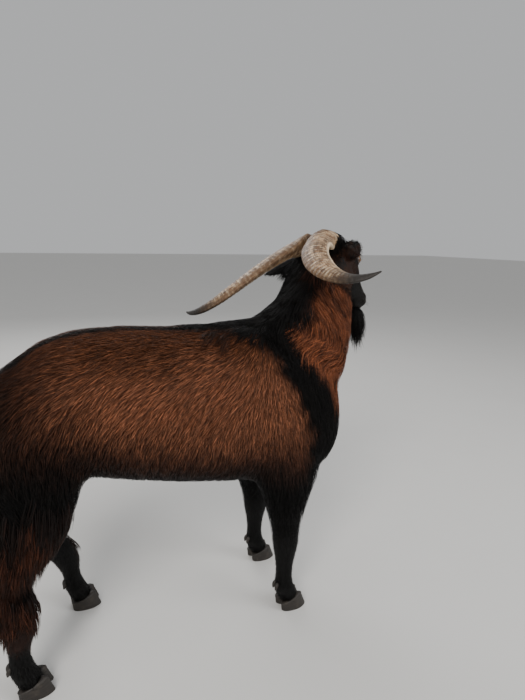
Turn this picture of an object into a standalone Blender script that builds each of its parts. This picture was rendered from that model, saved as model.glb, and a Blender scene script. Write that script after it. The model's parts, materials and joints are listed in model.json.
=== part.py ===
import math
import random

import bmesh
import bpy
from mathutils import Matrix, Vector
from mathutils.bvhtree import BVHTree

# Units are metres. The goat faces +X, its left side is +Y and up is +Z.
# Sizes out to the tips of the lying coat, taken from the photo by one fitted camera.

OBJECT_NAME = "dairy_goat_model"
GAP = 0.0003
MERGE = 0.00002
SEED = 11
# Faces of the flesh after thinning, before it is parted.
FLESH_FACES = 3700

# Torso rings: x, top, bottom, half width.
TORSO = [
    (-0.088, 0.655, 0.575, 0.045),
    (-0.070, 0.695, 0.520, 0.090),
    (-0.030, 0.722, 0.480, 0.128),
    (0.030, 0.760, 0.470, 0.148),
    (0.100, 0.810, 0.478, 0.158),
    (0.180, 0.832, 0.470, 0.166),
    (0.290, 0.835, 0.440, 0.178),
    (0.410, 0.826, 0.412, 0.184),
    (0.520, 0.824, 0.390, 0.180),
    (0.620, 0.832, 0.372, 0.170),
    (0.710, 0.826, 0.360, 0.161),
    (0.790, 0.790, 0.358, 0.152),
    (0.855, 0.730, 0.378, 0.132),
    (0.900, 0.675, 0.420, 0.094),
    (0.917, 0.630, 0.480, 0.046),
]

# Neck rings: centre x, y, z, half depth front to back, half width, tilt of the ring's normal.
NECK = [
    (0.700, 0.000, 0.640, 0.190, 0.125, 58),
    (0.793, 0.000, 0.735, 0.180, 0.112, 62),
    (0.853, 0.012, 0.815, 0.141, 0.097, 66),
    (0.887, 0.034, 0.890, 0.115, 0.088, 72),
    (0.904, 0.056, 0.955, 0.100, 0.078, 78),
    (0.917, 0.070, 1.000, 0.078, 0.064, 80),
]

# Head frame: origin at the poll, x along the face to the nose, y left, z out of the forehead.
POLL = Vector((0.931, 0.078, 1.057))
HEAD_TURN = (26.0, 34.0, -17.0)
# The horns' own frame at the poll: yaw, pitch and roll that their outlines gave.
HORN_TURN = (19.9, 33.0, -17.0)

# Head rings: x, top, bottom, half width, how much wider above than below.
HEAD = [
    (-0.046, -0.018, -0.085, 0.038, 0.00),
    (-0.024, 0.004, -0.118, 0.058, 0.02),
    (0.016, 0.014, -0.146, 0.067, 0.04),
    (0.056, 0.018, -0.158, 0.069, 0.10),
    (0.096, 0.012, -0.154, 0.068, 0.18),
    (0.134, 0.000, -0.138, 0.060, 0.20),
    (0.172, -0.013, -0.121, 0.050, 0.12),
    (0.212, -0.022, -0.108, 0.042, 0.04),
    (0.250, -0.031, -0.103, 0.039, 0.00),
    (0.278, -0.041, -0.099, 0.036, 0.00),
    (0.295, -0.054, -0.090, 0.026, 0.00),
]

# Swellings of the head: centre and radii, made for both sides.
HEAD_SWELLINGS = {
    "orbit": ((0.102, 0.052, -0.018), (0.032, 0.021, 0.021)),
    "cheek": ((0.060, 0.040, -0.100), (0.056, 0.030, 0.052)),
    "nostril_wing": ((0.272, 0.021, -0.056), (0.022, 0.017, 0.017)),
    "upper_lip": ((0.262, 0.024, -0.078), (0.030, 0.016, 0.012)),
    "chin": ((0.254, 0.008, -0.104), (0.026, 0.018, 0.014)),
}

# Flat cuts: centre, normal and size.
NECK_CUT = ((0.800, 0.0, 0.722), (0.50, 0.0, 0.866), (0.60, 0.50))
TAIL_CUT = ((-0.084, 0.0, 0.700), (1.0, 0.0, -0.1), (0.12, 0.12))
# Cuts of a leg: height, shift ahead and size, by end of the animal.
LEG_CUTS = {
    "front": ((0.342, 0.03, (0.26, 0.17)), (0.205, -0.03, (0.19, 0.14))),
    "hind": ((0.450, 0.03, (0.26, 0.17)), (0.262, -0.03, (0.19, 0.14))),
}

# The curved cut between neck and head, an arc in the head frame.
NECK_CUT_CENTRE = (0.155, 0.030)
NECK_CUT_RADIUS = 0.225
NECK_CUT_FROM = 150
NECK_CUT_TO = 285
NECK_CUT_STEPS = 18

EYE_CENTRE = (0.106, 0.0585, -0.026)
EYE_RADIUS = 0.0165
LID_RADIUS = 0.0200
# Opening of the lids: half length, half height, slant in degrees, how far it faces ahead.
LID_OPENING = (0.0150, 0.0088, -16.0, 0.18)

NOSTRIL_CENTRE = (0.289, 0.0200, -0.056)
NOSTRIL_RADII = (0.0085, 0.0040, 0.0062)

# Line of the mouth, right round the muzzle: x, half width of the muzzle, height.
MOUTH = [
    (0.222, 0.041, -0.0830),
    (0.250, 0.040, -0.0865),
    (0.278, 0.036, -0.0880),
    (0.297, 0.018, -0.0870),
]
MOUTH_DEPTH = 0.007
MOUTH_HEIGHT = 0.0026

EAR_ROOT = (0.004, 0.058, -0.044)
EAR_LENGTH = 0.142
EAR_WIDTH = 0.033
EAR_THICKNESS = 0.0075
# Swing back and drop of each ear, in degrees.
EAR_POSE = {"left": (30.0, -24.0), "right": (60.0, -40.0)}
EAR_FACE = -62.0
EAR_ROWS = 7
EAR_COLUMNS = 6
# Half width of an ear along its length, as shares of the full half width.
EAR_OUTLINE = [
    (0.00, 0.50), (0.14, 0.67), (0.29, 0.83), (0.43, 0.94),
    (0.57, 0.90), (0.71, 0.81), (0.86, 0.62), (1.00, 0.19),
]

# Horn centre line in the head frame for the left horn, as four control points.
HORN_PATH = [
    Vector((-0.014, 0.032, -0.025)),
    Vector((-0.216, 0.039, -0.176)),
    Vector((-0.243, 0.172, -0.393)),
    Vector((-0.215, 0.292, -0.325)),
]
HORN_STEPS = 16
HORN_SIDES = 10
# First ring of a horn, sunk in the skull below the start of its path.
HORN_ROOT = Vector((0.004, -0.008, -0.030))
# Turn of the flat section about the horn: at the root, after the first stretch, gain to the tip.
HORN_TWIST = (12.0, 73.0, 27.0)
HORN_TWIST_OVER = 0.22
# Horn section along its length: share of length, half breadth, half thickness.
HORN_SIZES = [
    (0.00, 0.0330, 0.0225),
    (0.12, 0.0360, 0.0205),
    (0.30, 0.0366, 0.0170),
    (0.50, 0.0336, 0.0140),
    (0.65, 0.0257, 0.0122),
    (0.80, 0.0163, 0.0095),
    (0.93, 0.0084, 0.0058),
    (1.00, 0.0025, 0.0022),
]

# Leg rings: x, height, half depth front to back, half width. The y is the leg's own.
FORE_LEG = [
    (-0.020, 0.560, 0.105, 0.055),
    (0.010, 0.450, 0.114, 0.060),
    (0.018, 0.390, 0.104, 0.058),
    (0.014, 0.335, 0.077, 0.052),
    (0.006, 0.270, 0.051, 0.044),
    (0.005, 0.225, 0.045, 0.041),
    (0.004, 0.195, 0.042, 0.039),
    (0.000, 0.150, 0.031, 0.031),
    (-0.002, 0.110, 0.027, 0.027),
    (-0.003, 0.080, 0.029, 0.029),
    (-0.001, 0.062, 0.033, 0.032),
    (0.010, 0.040, 0.031, 0.033),
    (0.018, 0.018, 0.028, 0.031),
]
HIND_LEG = [
    (0.020, 0.640, 0.105, 0.055),
    (0.034, 0.560, 0.122, 0.066),
    (0.046, 0.490, 0.116, 0.070),
    (0.044, 0.430, 0.100, 0.064),
    (0.026, 0.375, 0.086, 0.055),
    (-0.002, 0.330, 0.072, 0.048),
    (-0.020, 0.290, 0.064, 0.044),
    (-0.022, 0.250, 0.056, 0.041),
    (-0.010, 0.205, 0.049, 0.038),
    (-0.004, 0.160, 0.040, 0.033),
    (-0.008, 0.115, 0.027, 0.028),
    (-0.006, 0.082, 0.029, 0.030),
    (-0.003, 0.062, 0.033, 0.033),
    (0.010, 0.040, 0.031, 0.034),
    (0.018, 0.018, 0.028, 0.032),
]
# Where each leg stands: x of the foot, y of the foot, y high on the leg, x shift high on the leg.
LEGS = {
    "front_right": (FORE_LEG, 0.700, -0.130, -0.098, 0.000),
    "front_left": (FORE_LEG, 0.730, 0.120, 0.098, -0.030),
    "hind_right": (HIND_LEG, 0.010, -0.130, -0.095, 0.000),
    "hind_left": (HIND_LEG, 0.165, 0.130, 0.095, -0.140),
}
LEG_SHIFT_START = 0.060
LEG_SHIFT_END = 0.480

# One claw of a hoof; each foot has two.
HOOF_LENGTH = 0.078
HOOF_WIDTH = 0.031
HOOF_HEEL = 0.026
HOOF_TOE = 0.046
HOOF_SPLIT = 0.0035
HOOF_TOP_SHARE = 0.90
HOOF_SLANT = 0.009
HOOF_AHEAD = 0.024

# Tail rings: x, height, half depth, half width.
TAIL = [
    (-0.045, 0.690, 0.044, 0.042),
    (-0.085, 0.712, 0.034, 0.038),
    (-0.120, 0.716, 0.030, 0.036),
    (-0.155, 0.702, 0.028, 0.034),
    (-0.184, 0.672, 0.022, 0.026),
    (-0.200, 0.640, 0.011, 0.014),
]

# Long hair: a thin bed on the flesh with locks rooted in it.
# Line: the middle of the bed. Across: the way its rows are spread. Reach: half its width.
# Locks: rows along, rows across, length, half width, half thickness, lift of the tip, droop.
# Bias: how far the roots sit to one side of the line. Beside: nodes that the hair is cut clear of.
HAIR = {
    "mane": {
        "line": [
            (0.815, 0.030, 0.975),
            (0.780, 0.015, 0.935),
            (0.735, 0.005, 0.890),
            (0.650, 0.000, 0.845),
            (0.590, 0.000, 0.825),
        ],
        "across": (0.0, 1.0, 0.0),
        "reach": 0.046,
        "depth": 0.005,
        "locks": (7, 3, 0.115, 0.023, 0.0065, 0.006, 0.35),
        "bias": 0.0,
        "lie": (-0.80, 0.0, -0.30),
        "beside": ("horn_left", "horn_right"),
    },
    "breast_hair": {
        "line": [(0.918, 0.0, 0.600), (0.925, 0.0, 0.510), (0.895, 0.0, 0.425)],
        "across": (0.0, 1.0, 0.0),
        "reach": 0.080,
        "depth": 0.006,
        "locks": (3, 3, 0.110, 0.030, 0.0075, 0.010, 0.5),
        "bias": 0.0,
        "lie": (0.05, 0.0, -1.0),
        "beside": (),
    },
    "hind_right_skirt": {
        "line": [(0.105, -0.175, 0.430), (0.040, -0.185, 0.430), (-0.040, -0.165, 0.430)],
        "across": (0.0, 0.0, 1.0),
        "reach": 0.080,
        "depth": 0.006,
        "locks": (5, 2, 0.120, 0.026, 0.0075, 0.014, 0.6),
        "bias": 0.30,
        "lie": (-0.15, 0.0, -1.0),
        "beside": (),
    },
    "hind_left_skirt": {
        "line": [(0.125, 0.175, 0.430), (0.060, 0.185, 0.430), (-0.015, 0.165, 0.430)],
        "across": (0.0, 0.0, 1.0),
        "reach": 0.080,
        "depth": 0.006,
        "locks": (5, 2, 0.120, 0.026, 0.0075, 0.014, 0.6),
        "bias": 0.30,
        "lie": (-0.15, 0.0, -1.0),
        "beside": (),
    },
    "hind_right_feather": {
        "line": [(0.035, -0.165, 0.235), (-0.005, -0.172, 0.235), (-0.045, -0.160, 0.240)],
        "across": (0.0, 0.0, 1.0),
        "reach": 0.030,
        "depth": 0.005,
        "locks": (5, 1, 0.085, 0.018, 0.0060, 0.010, 0.6),
        "bias": 0.30,
        "lie": (0.0, 0.0, -1.0),
        "beside": (),
    },
    "hind_left_feather": {
        "line": [(0.155, 0.165, 0.235), (0.110, 0.172, 0.235), (0.060, 0.160, 0.240)],
        "across": (0.0, 0.0, 1.0),
        "reach": 0.030,
        "depth": 0.005,
        "locks": (5, 1, 0.085, 0.018, 0.0060, 0.010, 0.6),
        "bias": 0.30,
        "lie": (0.15, 0.0, -1.0),
        "beside": (),
    },
    "forelock": {
        "line": [(0.922, 0.082, 1.080), (0.965, 0.098, 1.052), (0.995, 0.110, 1.032)],
        "across": (0.28, -0.90, 0.30),
        "reach": 0.024,
        "depth": 0.006,
        "locks": (2, 3, 0.060, 0.014, 0.0050, 0.008, 0.2),
        "bias": 0.0,
        "lie": (0.78, 0.28, -0.50),
        "beside": ("horn_left", "horn_right"),
    },
}

# Beard: root in the head frame, hang in the world, core, then locks: how many, half width, thickness.
BEARD_ROOT = (0.238, 0.0, -0.098)
BEARD_HANG = (0.20, -0.16, -1.0)
BEARD_CORE = [(0.0, 0.028, 0.020), (0.35, 0.026, 0.019), (0.75, 0.018, 0.013), (1.0, 0.005, 0.004)]
BEARD_LENGTH = 0.150
BEARD_CORE_SHARE = 0.5
BEARD_LOCKS = (11, 0.013, 0.0065)

# Locks of the tail: how many, length, half width, half thickness.
TAIL_LOCKS = (8, 0.085, 0.018, 0.0070)

# Widths of a lock from root to tip, and its steps.
LOCK_WIDTHS = (0.80, 1.00, 0.86, 0.52)
LOCK_STEPS = 4
LOCK_SUNK = 0.004

COLOURS = {
    "chestnut": ((0.120, 0.042, 0.018), 0.80),
    "brown": ((0.085, 0.032, 0.016), 0.80),
    "black": ((0.010, 0.009, 0.009), 0.75),
    "horn": ((0.300, 0.250, 0.190), 0.45),
    "hoof": ((0.030, 0.026, 0.022), 0.45),
    "eye": ((0.260, 0.130, 0.020), 0.10),
}


def clear_scene():
    for obj in list(bpy.data.objects):
        bpy.data.objects.remove(obj, do_unlink=True)


def make_collection(name):
    coll = bpy.data.collections.new(name)
    bpy.context.scene.collection.children.link(coll)
    return coll


def make_material(name):
    colour, roughness = COLOURS[name]
    mat = bpy.data.materials.new(name)
    mat.use_nodes = True
    shader = mat.node_tree.nodes["Principled BSDF"]
    shader.inputs["Base Color"].default_value = (*colour, 1.0)
    shader.inputs["Roughness"].default_value = roughness
    return mat


def object_from_bmesh(name, bm, coll):
    bmesh.ops.recalc_face_normals(bm, faces=bm.faces)
    mesh = bpy.data.meshes.new(name)
    bm.to_mesh(mesh)
    bm.free()
    obj = bpy.data.objects.new(name, mesh)
    coll.objects.link(obj)
    return obj


def loft(name, rings, coll, quads=False):
    bm = bmesh.new()
    rows = [[bm.verts.new(p) for p in ring] for ring in rings]
    count = len(rows[0])
    for low, high in zip(rows, rows[1:]):
        for i in range(count):
            j = (i + 1) % count
            bm.faces.new((low[i], low[j], high[j], high[i]))
    bm.faces.new(list(reversed(rows[0])))
    bm.faces.new(rows[-1])
    if not quads:
        bmesh.ops.triangulate(bm, faces=bm.faces[:])
    return object_from_bmesh(name, bm, coll)


def rounded(angle, power):
    c = math.cos(angle)
    s = math.sin(angle)
    return math.copysign(abs(c) ** power, c), math.copysign(abs(s) ** power, s)


def ball(name, centre, radii, coll, segments=24, rings=14):
    bm = bmesh.new()
    bmesh.ops.create_uvsphere(bm, u_segments=segments, v_segments=rings, radius=1.0)
    place = Matrix.Translation(centre) @ Matrix.Diagonal((*radii, 1.0))
    bmesh.ops.transform(bm, matrix=place, verts=bm.verts)
    return object_from_bmesh(name, bm, coll)


def apply_modifiers(obj):
    graph = bpy.context.evaluated_depsgraph_get()
    mesh = bpy.data.meshes.new_from_object(obj.evaluated_get(graph))
    obj.modifiers.clear()
    old = obj.data
    obj.data = mesh
    bpy.data.meshes.remove(old)
    return obj


def join_meshes(name, objects, coll):
    bm = bmesh.new()
    for obj in objects:
        bm.from_mesh(obj.data)
        bpy.data.objects.remove(obj, do_unlink=True)
    mesh = bpy.data.meshes.new(name)
    bm.to_mesh(mesh)
    bm.free()
    joined = bpy.data.objects.new(name, mesh)
    coll.objects.link(joined)
    return joined


def fuse_by_voxels(obj, size):
    mod = obj.modifiers.new("fuse", "REMESH")
    mod.mode = "VOXEL"
    mod.voxel_size = size
    mod.adaptivity = 0.0
    return apply_modifiers(obj)


def smooth_where(obj, weight, factor, repeats):
    group = obj.vertex_groups.new(name="smooth")
    for vert in obj.data.vertices:
        group.add([vert.index], weight(vert.co), "REPLACE")
    mod = obj.modifiers.new("smooth", "SMOOTH")
    mod.factor = factor
    mod.iterations = repeats
    mod.vertex_group = "smooth"
    apply_modifiers(obj)
    obj.vertex_groups.clear()
    return obj


def boolean(obj, other, operation, solver="EXACT"):
    mod = obj.modifiers.new("cut", "BOOLEAN")
    mod.operation = operation
    mod.solver = solver
    mod.object = other
    return apply_modifiers(obj)


def step(value, low, high):
    t = min(1.0, max(0.0, (value - low) / (high - low)))
    return t * t * (3.0 - 2.0 * t)


def head_matrix(angles=HEAD_TURN):
    turn = Matrix.Rotation(math.radians(angles[0]), 4, "Z")
    nod = Matrix.Rotation(math.radians(angles[1]), 4, "Y")
    lean = Matrix.Rotation(math.radians(angles[2]), 4, "X")
    return Matrix.Translation(POLL) @ turn @ nod @ lean


def mirrored(point, side):
    return Vector((point[0], point[1] * side, point[2]))


def build_torso(coll):
    rings = []
    for x, top, bottom, half in TORSO:
        middle = (top + bottom) / 2
        height = (top - bottom) / 2
        ring = []
        for i in range(32):
            c, s = rounded(2 * math.pi * i / 32, 0.86)
            ring.append((x, half * c * (1.0 - 0.10 * s), middle + height * s))
        rings.append(ring)
    return loft("torso_form", rings, coll)


def build_neck(coll):
    rings = []
    for x, y, z, deep, half, tilt in NECK:
        forward = Vector((math.sin(math.radians(tilt)), 0.0, -math.cos(math.radians(tilt))))
        ring = []
        for i in range(28):
            c, s = rounded(2 * math.pi * i / 28, 0.95)
            ring.append(Vector((x, y, z)) + forward * deep * c + Vector((0.0, half * s, 0.0)))
        rings.append(ring)
    return loft("neck_form", rings, coll)


def build_head(coll):
    parts = []
    rings = []
    for x, top, bottom, half, taper in HEAD:
        middle = (top + bottom) / 2
        height = (top - bottom) / 2
        ring = []
        for i in range(28):
            c, s = rounded(2 * math.pi * i / 28, 0.88)
            ring.append((x, half * c * (1.0 + taper * s), middle + height * s))
        rings.append(ring)
    parts.append(loft("skull_form", rings, coll))
    for name, (centre, radii) in HEAD_SWELLINGS.items():
        for side in (1, -1):
            parts.append(ball(name, mirrored(centre, side), radii, coll, 20, 12))
    head = join_meshes("head_form", parts, coll)
    head.data.transform(head_matrix())
    return head


def build_leg(name, coll):
    sizes, foot_x, foot_y, high_y, lean = LEGS[name]
    rings = []
    for x, z, deep, half in sizes:
        t = step(z, LEG_SHIFT_START, LEG_SHIFT_END)
        centre_x = foot_x + x + lean * t
        centre_y = foot_y + (high_y - foot_y) * t
        ring = []
        for i in range(20):
            a = 2 * math.pi * i / 20
            ring.append((centre_x + deep * math.cos(a), centre_y + half * math.sin(a), z))
        rings.append(ring)
    return loft(name + "_form", rings, coll)


def build_tail(coll):
    rings = []
    for k, (x, z, deep, half) in enumerate(TAIL):
        slope = math.radians(-15 - 14 * k)
        up = Vector((math.sin(slope), 0.0, math.cos(slope)))
        ring = []
        for i in range(14):
            a = 2 * math.pi * i / 14
            ring.append(Vector((x, 0.0, z)) + up * deep * math.sin(a) + Vector((0, half * math.cos(a), 0)))
        rings.append(ring)
    return loft("tail_form", rings, coll)


def build_flesh(coll):
    parts = [build_torso(coll), build_neck(coll), build_tail(coll)]
    parts += [build_leg(name, coll) for name in LEGS]
    body = fuse_by_voxels(join_meshes("body", parts, coll), 0.007)
    smooth_where(body, lambda p: step(p.z, 0.30, 0.46) * (1.0 - step(-p.x, 0.07, 0.10)), 0.5, 40)
    flesh = fuse_by_voxels(join_meshes("flesh", [body, build_head(coll)], coll), 0.0045)
    smooth_where(flesh, lambda p: 1.0, 0.5, 5)
    return flesh


def thin_down(obj, faces):
    fine = obj.vertex_groups.new(name="fine")
    inverse = head_matrix().inverted()
    for vert in obj.data.vertices:
        local = inverse @ vert.co
        on_head = step(local.x, -0.05, 0.05) * (1.0 - step(local.length, 0.32, 0.36))
        on_foot = 0.5 * (1.0 - step(vert.co.z, 0.10, 0.40))
        fine.add([vert.index], 1.0 - 0.90 * max(on_head, on_foot), "REPLACE")
    mod = obj.modifiers.new("thin", "DECIMATE")
    mod.ratio = faces / (2.0 * len(obj.data.polygons))
    mod.vertex_group = "fine"
    mod.vertex_group_factor = 0.0002
    mod.use_collapse_triangulate = True
    apply_modifiers(obj)
    obj.vertex_groups.clear()
    return obj


def slab(name, centre, normal, size, coll):
    bm = bmesh.new()
    bmesh.ops.create_cube(bm, size=1.0)
    turn = Vector(normal).normalized().to_track_quat("Z", "Y").to_matrix().to_4x4()
    scale = Matrix.Diagonal((size[0], size[1], GAP, 1.0))
    bmesh.ops.transform(bm, matrix=Matrix.Translation(centre) @ turn @ scale, verts=bm.verts)
    obj = object_from_bmesh(name, bm, coll)
    obj.hide_render = True
    obj.display_type = "WIRE"
    return obj


def head_knife(coll):
    rings = []
    for k in range(NECK_CUT_STEPS + 1):
        angle = math.radians(NECK_CUT_FROM + (NECK_CUT_TO - NECK_CUT_FROM) * k / NECK_CUT_STEPS)
        ring = []
        for radius, y in ((0.0, -0.2), (GAP, -0.2), (GAP, 0.2), (0.0, 0.2)):
            reach = NECK_CUT_RADIUS + radius
            x = NECK_CUT_CENTRE[0] + reach * math.cos(angle)
            z = NECK_CUT_CENTRE[1] + reach * math.sin(angle)
            ring.append((x, y, z))
        rings.append(ring)
    knife = loft("cut_head", rings, coll)
    knife.data.transform(head_matrix())
    knife.hide_render = True
    knife.display_type = "WIRE"
    return knife


def split_loose(obj, coll):
    bm = bmesh.new()
    bm.from_mesh(obj.data)
    bm.verts.ensure_lookup_table()
    island = [0] * len(bm.verts)
    count = 0
    for start in bm.verts:
        if island[start.index]:
            continue
        count += 1
        island[start.index] = count
        stack = [start]
        while stack:
            vert = stack.pop()
            for edge in vert.link_edges:
                other = edge.other_vert(vert)
                if not island[other.index]:
                    island[other.index] = count
                    stack.append(other)
    result = []
    for number in range(1, count + 1):
        piece = bm.copy()
        extra = [vert for vert in piece.verts if island[vert.index] != number]
        bmesh.ops.delete(piece, geom=extra, context="VERTS")
        volume = abs(piece.calc_volume())
        result.append((volume, object_from_bmesh("piece", piece, coll)))
    bm.free()
    bpy.data.objects.remove(obj, do_unlink=True)
    result.sort(key=lambda item: -item[0])
    return [piece for volume, piece in result]


def middle_of(obj):
    total = Vector((0.0, 0.0, 0.0))
    for vert in obj.data.vertices:
        total += vert.co
    return total / len(obj.data.vertices)


def part_flesh(flesh, coll, cut_coll):
    place = head_matrix()
    slabs = [
        head_knife(cut_coll),
        slab("cut_neck", *NECK_CUT, cut_coll),
        slab("cut_tail", *TAIL_CUT, cut_coll),
    ]
    for name, (sizes, foot_x, foot_y, high_y, lean) in LEGS.items():
        for z, ahead, size in LEG_CUTS[name.split("_")[0]]:
            t = step(z, LEG_SHIFT_START, LEG_SHIFT_END)
            centre = (foot_x + lean * t + ahead, foot_y + (high_y - foot_y) * t, z)
            slabs.append(slab("cut_" + name, centre, (0.0, 0.0, 1.0), size, cut_coll))
    for knife in slabs:
        boolean(flesh, knife, "DIFFERENCE")
    pieces = split_loose(flesh, coll)
    named = {}
    for piece in pieces:
        centre = middle_of(piece)
        name = name_piece(piece, centre, place)
        if name in named:
            bpy.data.objects.remove(piece, do_unlink=True)
        else:
            piece.name = name
            named[name] = piece
    return named


def name_piece(piece, centre, place):
    local = place.inverted() @ centre
    top = max(vert.co.z for vert in piece.data.vertices)
    if top < 0.46:
        end = "front" if centre.x > 0.45 else "hind"
        side = "left" if centre.y > 0 else "right"
        limit = 0.22 if end == "front" else 0.28
        part = "upper_leg" if top > limit else "lower_leg"
        return end + "_" + side + "_" + part
    if centre.x < -0.09:
        return "tail"
    if local.x > 0.03 and centre.z > 0.85:
        return "head"
    if centre.z > 0.70 and centre.x > 0.72:
        return "neck"
    return "torso"


def bezier(points, t):
    a, b, c, d = [Vector(p) for p in points]
    u = 1.0 - t
    return a * u ** 3 + b * 3 * u * u * t + c * 3 * u * t * t + d * t ** 3


def size_at(table, t):
    for low, high in zip(table, table[1:]):
        if t <= high[0]:
            k = (t - low[0]) / (high[0] - low[0])
            return [p + (q - p) * k for p, q in zip(low[1:], high[1:])]
    return list(table[-1][1:])


def build_horn(name, side, coll):
    rings = []
    flat = Vector((0.0, 1.0, 0.0))
    for k in range(-1, HORN_STEPS + 1):
        t = max(0, k) / HORN_STEPS
        ahead = (bezier(HORN_PATH, t + 0.01) - bezier(HORN_PATH, t - 0.01)).normalized()
        point = bezier(HORN_PATH, t)
        if k < 0:
            point += HORN_ROOT
        flat = (flat - ahead * flat.dot(ahead)).normalized()
        early = (HORN_TWIST[1] - HORN_TWIST[0]) * step(t, 0.0, HORN_TWIST_OVER)
        twist = math.radians(HORN_TWIST[0] + early + HORN_TWIST[2] * t)
        broad = ahead.cross(flat) * math.cos(twist) + flat * math.sin(twist)
        across = ahead.cross(broad)
        half, thick = size_at(HORN_SIZES, t)
        ring = []
        for i in range(HORN_SIDES):
            a = 2 * math.pi * i / HORN_SIDES
            offset = broad * half * math.cos(a) + across * thick * math.sin(a)
            ring.append(mirrored(point + offset, side))
        rings.append(ring)
    horn = loft(name, rings, coll)
    horn.data.transform(head_matrix(HORN_TURN))
    return horn


def build_ear(label, side, coll):
    rings = []
    for k in range(EAR_ROWS + 1):
        t = k / EAR_ROWS
        half = EAR_WIDTH * size_at(EAR_OUTLINE, t)[0]
        curl = math.radians(150 - 75 * t)
        radius = half / math.sin(curl / 2)
        outer = []
        inner = []
        for i in range(EAR_COLUMNS + 1):
            a = curl * (i / EAR_COLUMNS - 0.5)
            x = math.sin(a) * radius
            z = -(1.0 - math.cos(a)) * radius - 0.030 * t * t
            rim = 0.35 + 0.65 * math.cos(a / curl * math.pi)
            thick = EAR_THICKNESS * rim * (1.0 - 0.45 * t)
            outer.append(Vector((x, t * EAR_LENGTH, z)))
            inner.append(Vector((x * 0.96, t * EAR_LENGTH, z - thick)))
        rings.append(outer + list(reversed(inner)))
    ear = loft("ear_" + label, rings, coll)
    face = Matrix.Rotation(math.radians(EAR_FACE), 4, "Y")
    swing = Matrix.Rotation(math.radians(EAR_POSE[label][0]), 4, "Z")
    drop = Matrix.Rotation(math.radians(EAR_POSE[label][1]), 4, "X")
    place = Matrix.Translation(EAR_ROOT) @ swing @ drop @ face
    ear.data.transform(place)
    if side < 0:
        ear.data.transform(Matrix.Diagonal((1.0, -1.0, 1.0, 1.0)))
        ear.data.flip_normals()
    ear.data.transform(head_matrix())
    return ear


def lid_opening(side, coll):
    half, high, slant, ahead = LID_OPENING
    centre = mirrored(EYE_CENTRE, side)
    out = Vector((ahead, side, 0.10)).normalized()
    along = Vector((math.cos(math.radians(slant)), 0.0, math.sin(math.radians(slant))))
    along = (along - out * along.dot(out)).normalized()
    up = out.cross(along) if side < 0 else along.cross(out)
    rings = []
    for reach in (0.0, 0.045):
        ring = []
        for i in range(12):
            a = 2 * math.pi * i / 12
            c, s = math.cos(a), math.sin(a)
            lens = s * (1.0 - 0.25 * c * c)
            ring.append(centre + out * reach + along * half * c + up * high * lens)
        rings.append(ring)
    return loft("lid_opening", rings, coll)


def nostril(side, coll):
    cutter = ball("nostril", (0.0, 0.0, 0.0), NOSTRIL_RADII, coll, 8, 6)
    turn = Matrix.Rotation(math.radians(28.0 * side), 4, "Z") @ Matrix.Rotation(math.radians(-35.0), 4, "Y")
    cutter.data.transform(Matrix.Translation(mirrored(NOSTRIL_CENTRE, side)) @ turn)
    return cutter


def mouth_line(coll):
    path = [(x, -wide, z) for x, wide, z in MOUTH]
    path += [(x, wide, z) for x, wide, z in reversed(MOUTH)]
    rings = []
    for x, y, z in path:
        out = Vector((max(0.0, x - 0.262) * 1.3, y, 0.0)).normalized()
        ring = []
        for reach, lift in ((-MOUTH_DEPTH, 0.0), (0.012, -1.0), (0.012, 1.0)):
            ring.append(Vector((x, y, z)) + out * reach + Vector((0.0, 0.0, lift * MOUTH_HEIGHT)))
        rings.append(ring)
    return loft("mouth_line", rings, coll)


def shape_face(head, coll):
    place = head_matrix()
    for side in (1, -1):
        lid = ball("lid", mirrored(EYE_CENTRE, side), (LID_RADIUS,) * 3, coll, 14, 9)
        lid.data.transform(place)
        boolean(head, lid, "UNION", "MANIFOLD")
        bpy.data.objects.remove(lid, do_unlink=True)
    cutters = [lid_opening(1, coll), lid_opening(-1, coll), nostril(1, coll), nostril(-1, coll)]
    cutters.append(mouth_line(coll))
    for cutter in cutters:
        cutter.data.transform(place)
        boolean(head, cutter, "DIFFERENCE", "MANIFOLD")
        bpy.data.objects.remove(cutter, do_unlink=True)


def build_claw(name, foot, side, coll):
    sizes, foot_x, foot_y, high_y, lean = LEGS[foot]
    rings = []
    for k in (0.0, 1.0):
        ring = []
        for i in range(14):
            a = 2 * math.pi * i / 14
            c = math.cos(a)
            s = math.sin(a)
            point_in = 1.0 - 0.28 * max(0.0, c) ** 2
            x = c * HOOF_LENGTH / 2 * (1.0 - (1.0 - HOOF_TOP_SHARE) * k) - HOOF_SLANT * k
            y = s * HOOF_WIDTH / 2 * point_in * (1.0 - 0.05 * k)
            inner = -side * HOOF_WIDTH / 2 * 0.86
            y = max(y, inner) if side > 0 else min(y, inner)
            height = HOOF_HEEL + (HOOF_TOE - HOOF_HEEL) * (c * 0.5 + 0.5)
            centre_y = foot_y + side * (HOOF_WIDTH + HOOF_SPLIT) / 2
            ring.append((foot_x + HOOF_AHEAD + x, centre_y + y, height * k))
        rings.append(ring)
    return loft(name, rings, coll)


def trim_leg(leg, foot):
    slope = (HOOF_TOE - HOOF_HEEL) / (HOOF_LENGTH * HOOF_TOP_SHARE)
    top = (HOOF_TOE + HOOF_HEEL) / 2 + slope * HOOF_SLANT
    centre = Vector((LEGS[foot][1] + HOOF_AHEAD, LEGS[foot][2], top + GAP))
    normal = Vector((-slope, 0.0, 1.0)).normalized()
    bm = bmesh.new()
    bm.from_mesh(leg.data)
    geom = bm.verts[:] + bm.edges[:] + bm.faces[:]
    cut = bmesh.ops.bisect_plane(bm, geom=geom, plane_co=centre, plane_no=normal, clear_inner=True)
    edges = [e for e in cut["geom_cut"] if isinstance(e, bmesh.types.BMEdge)]
    bmesh.ops.triangle_fill(bm, edges=edges, use_beauty=True)
    bmesh.ops.recalc_face_normals(bm, faces=bm.faces)
    bm.to_mesh(leg.data)
    bm.free()


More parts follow.
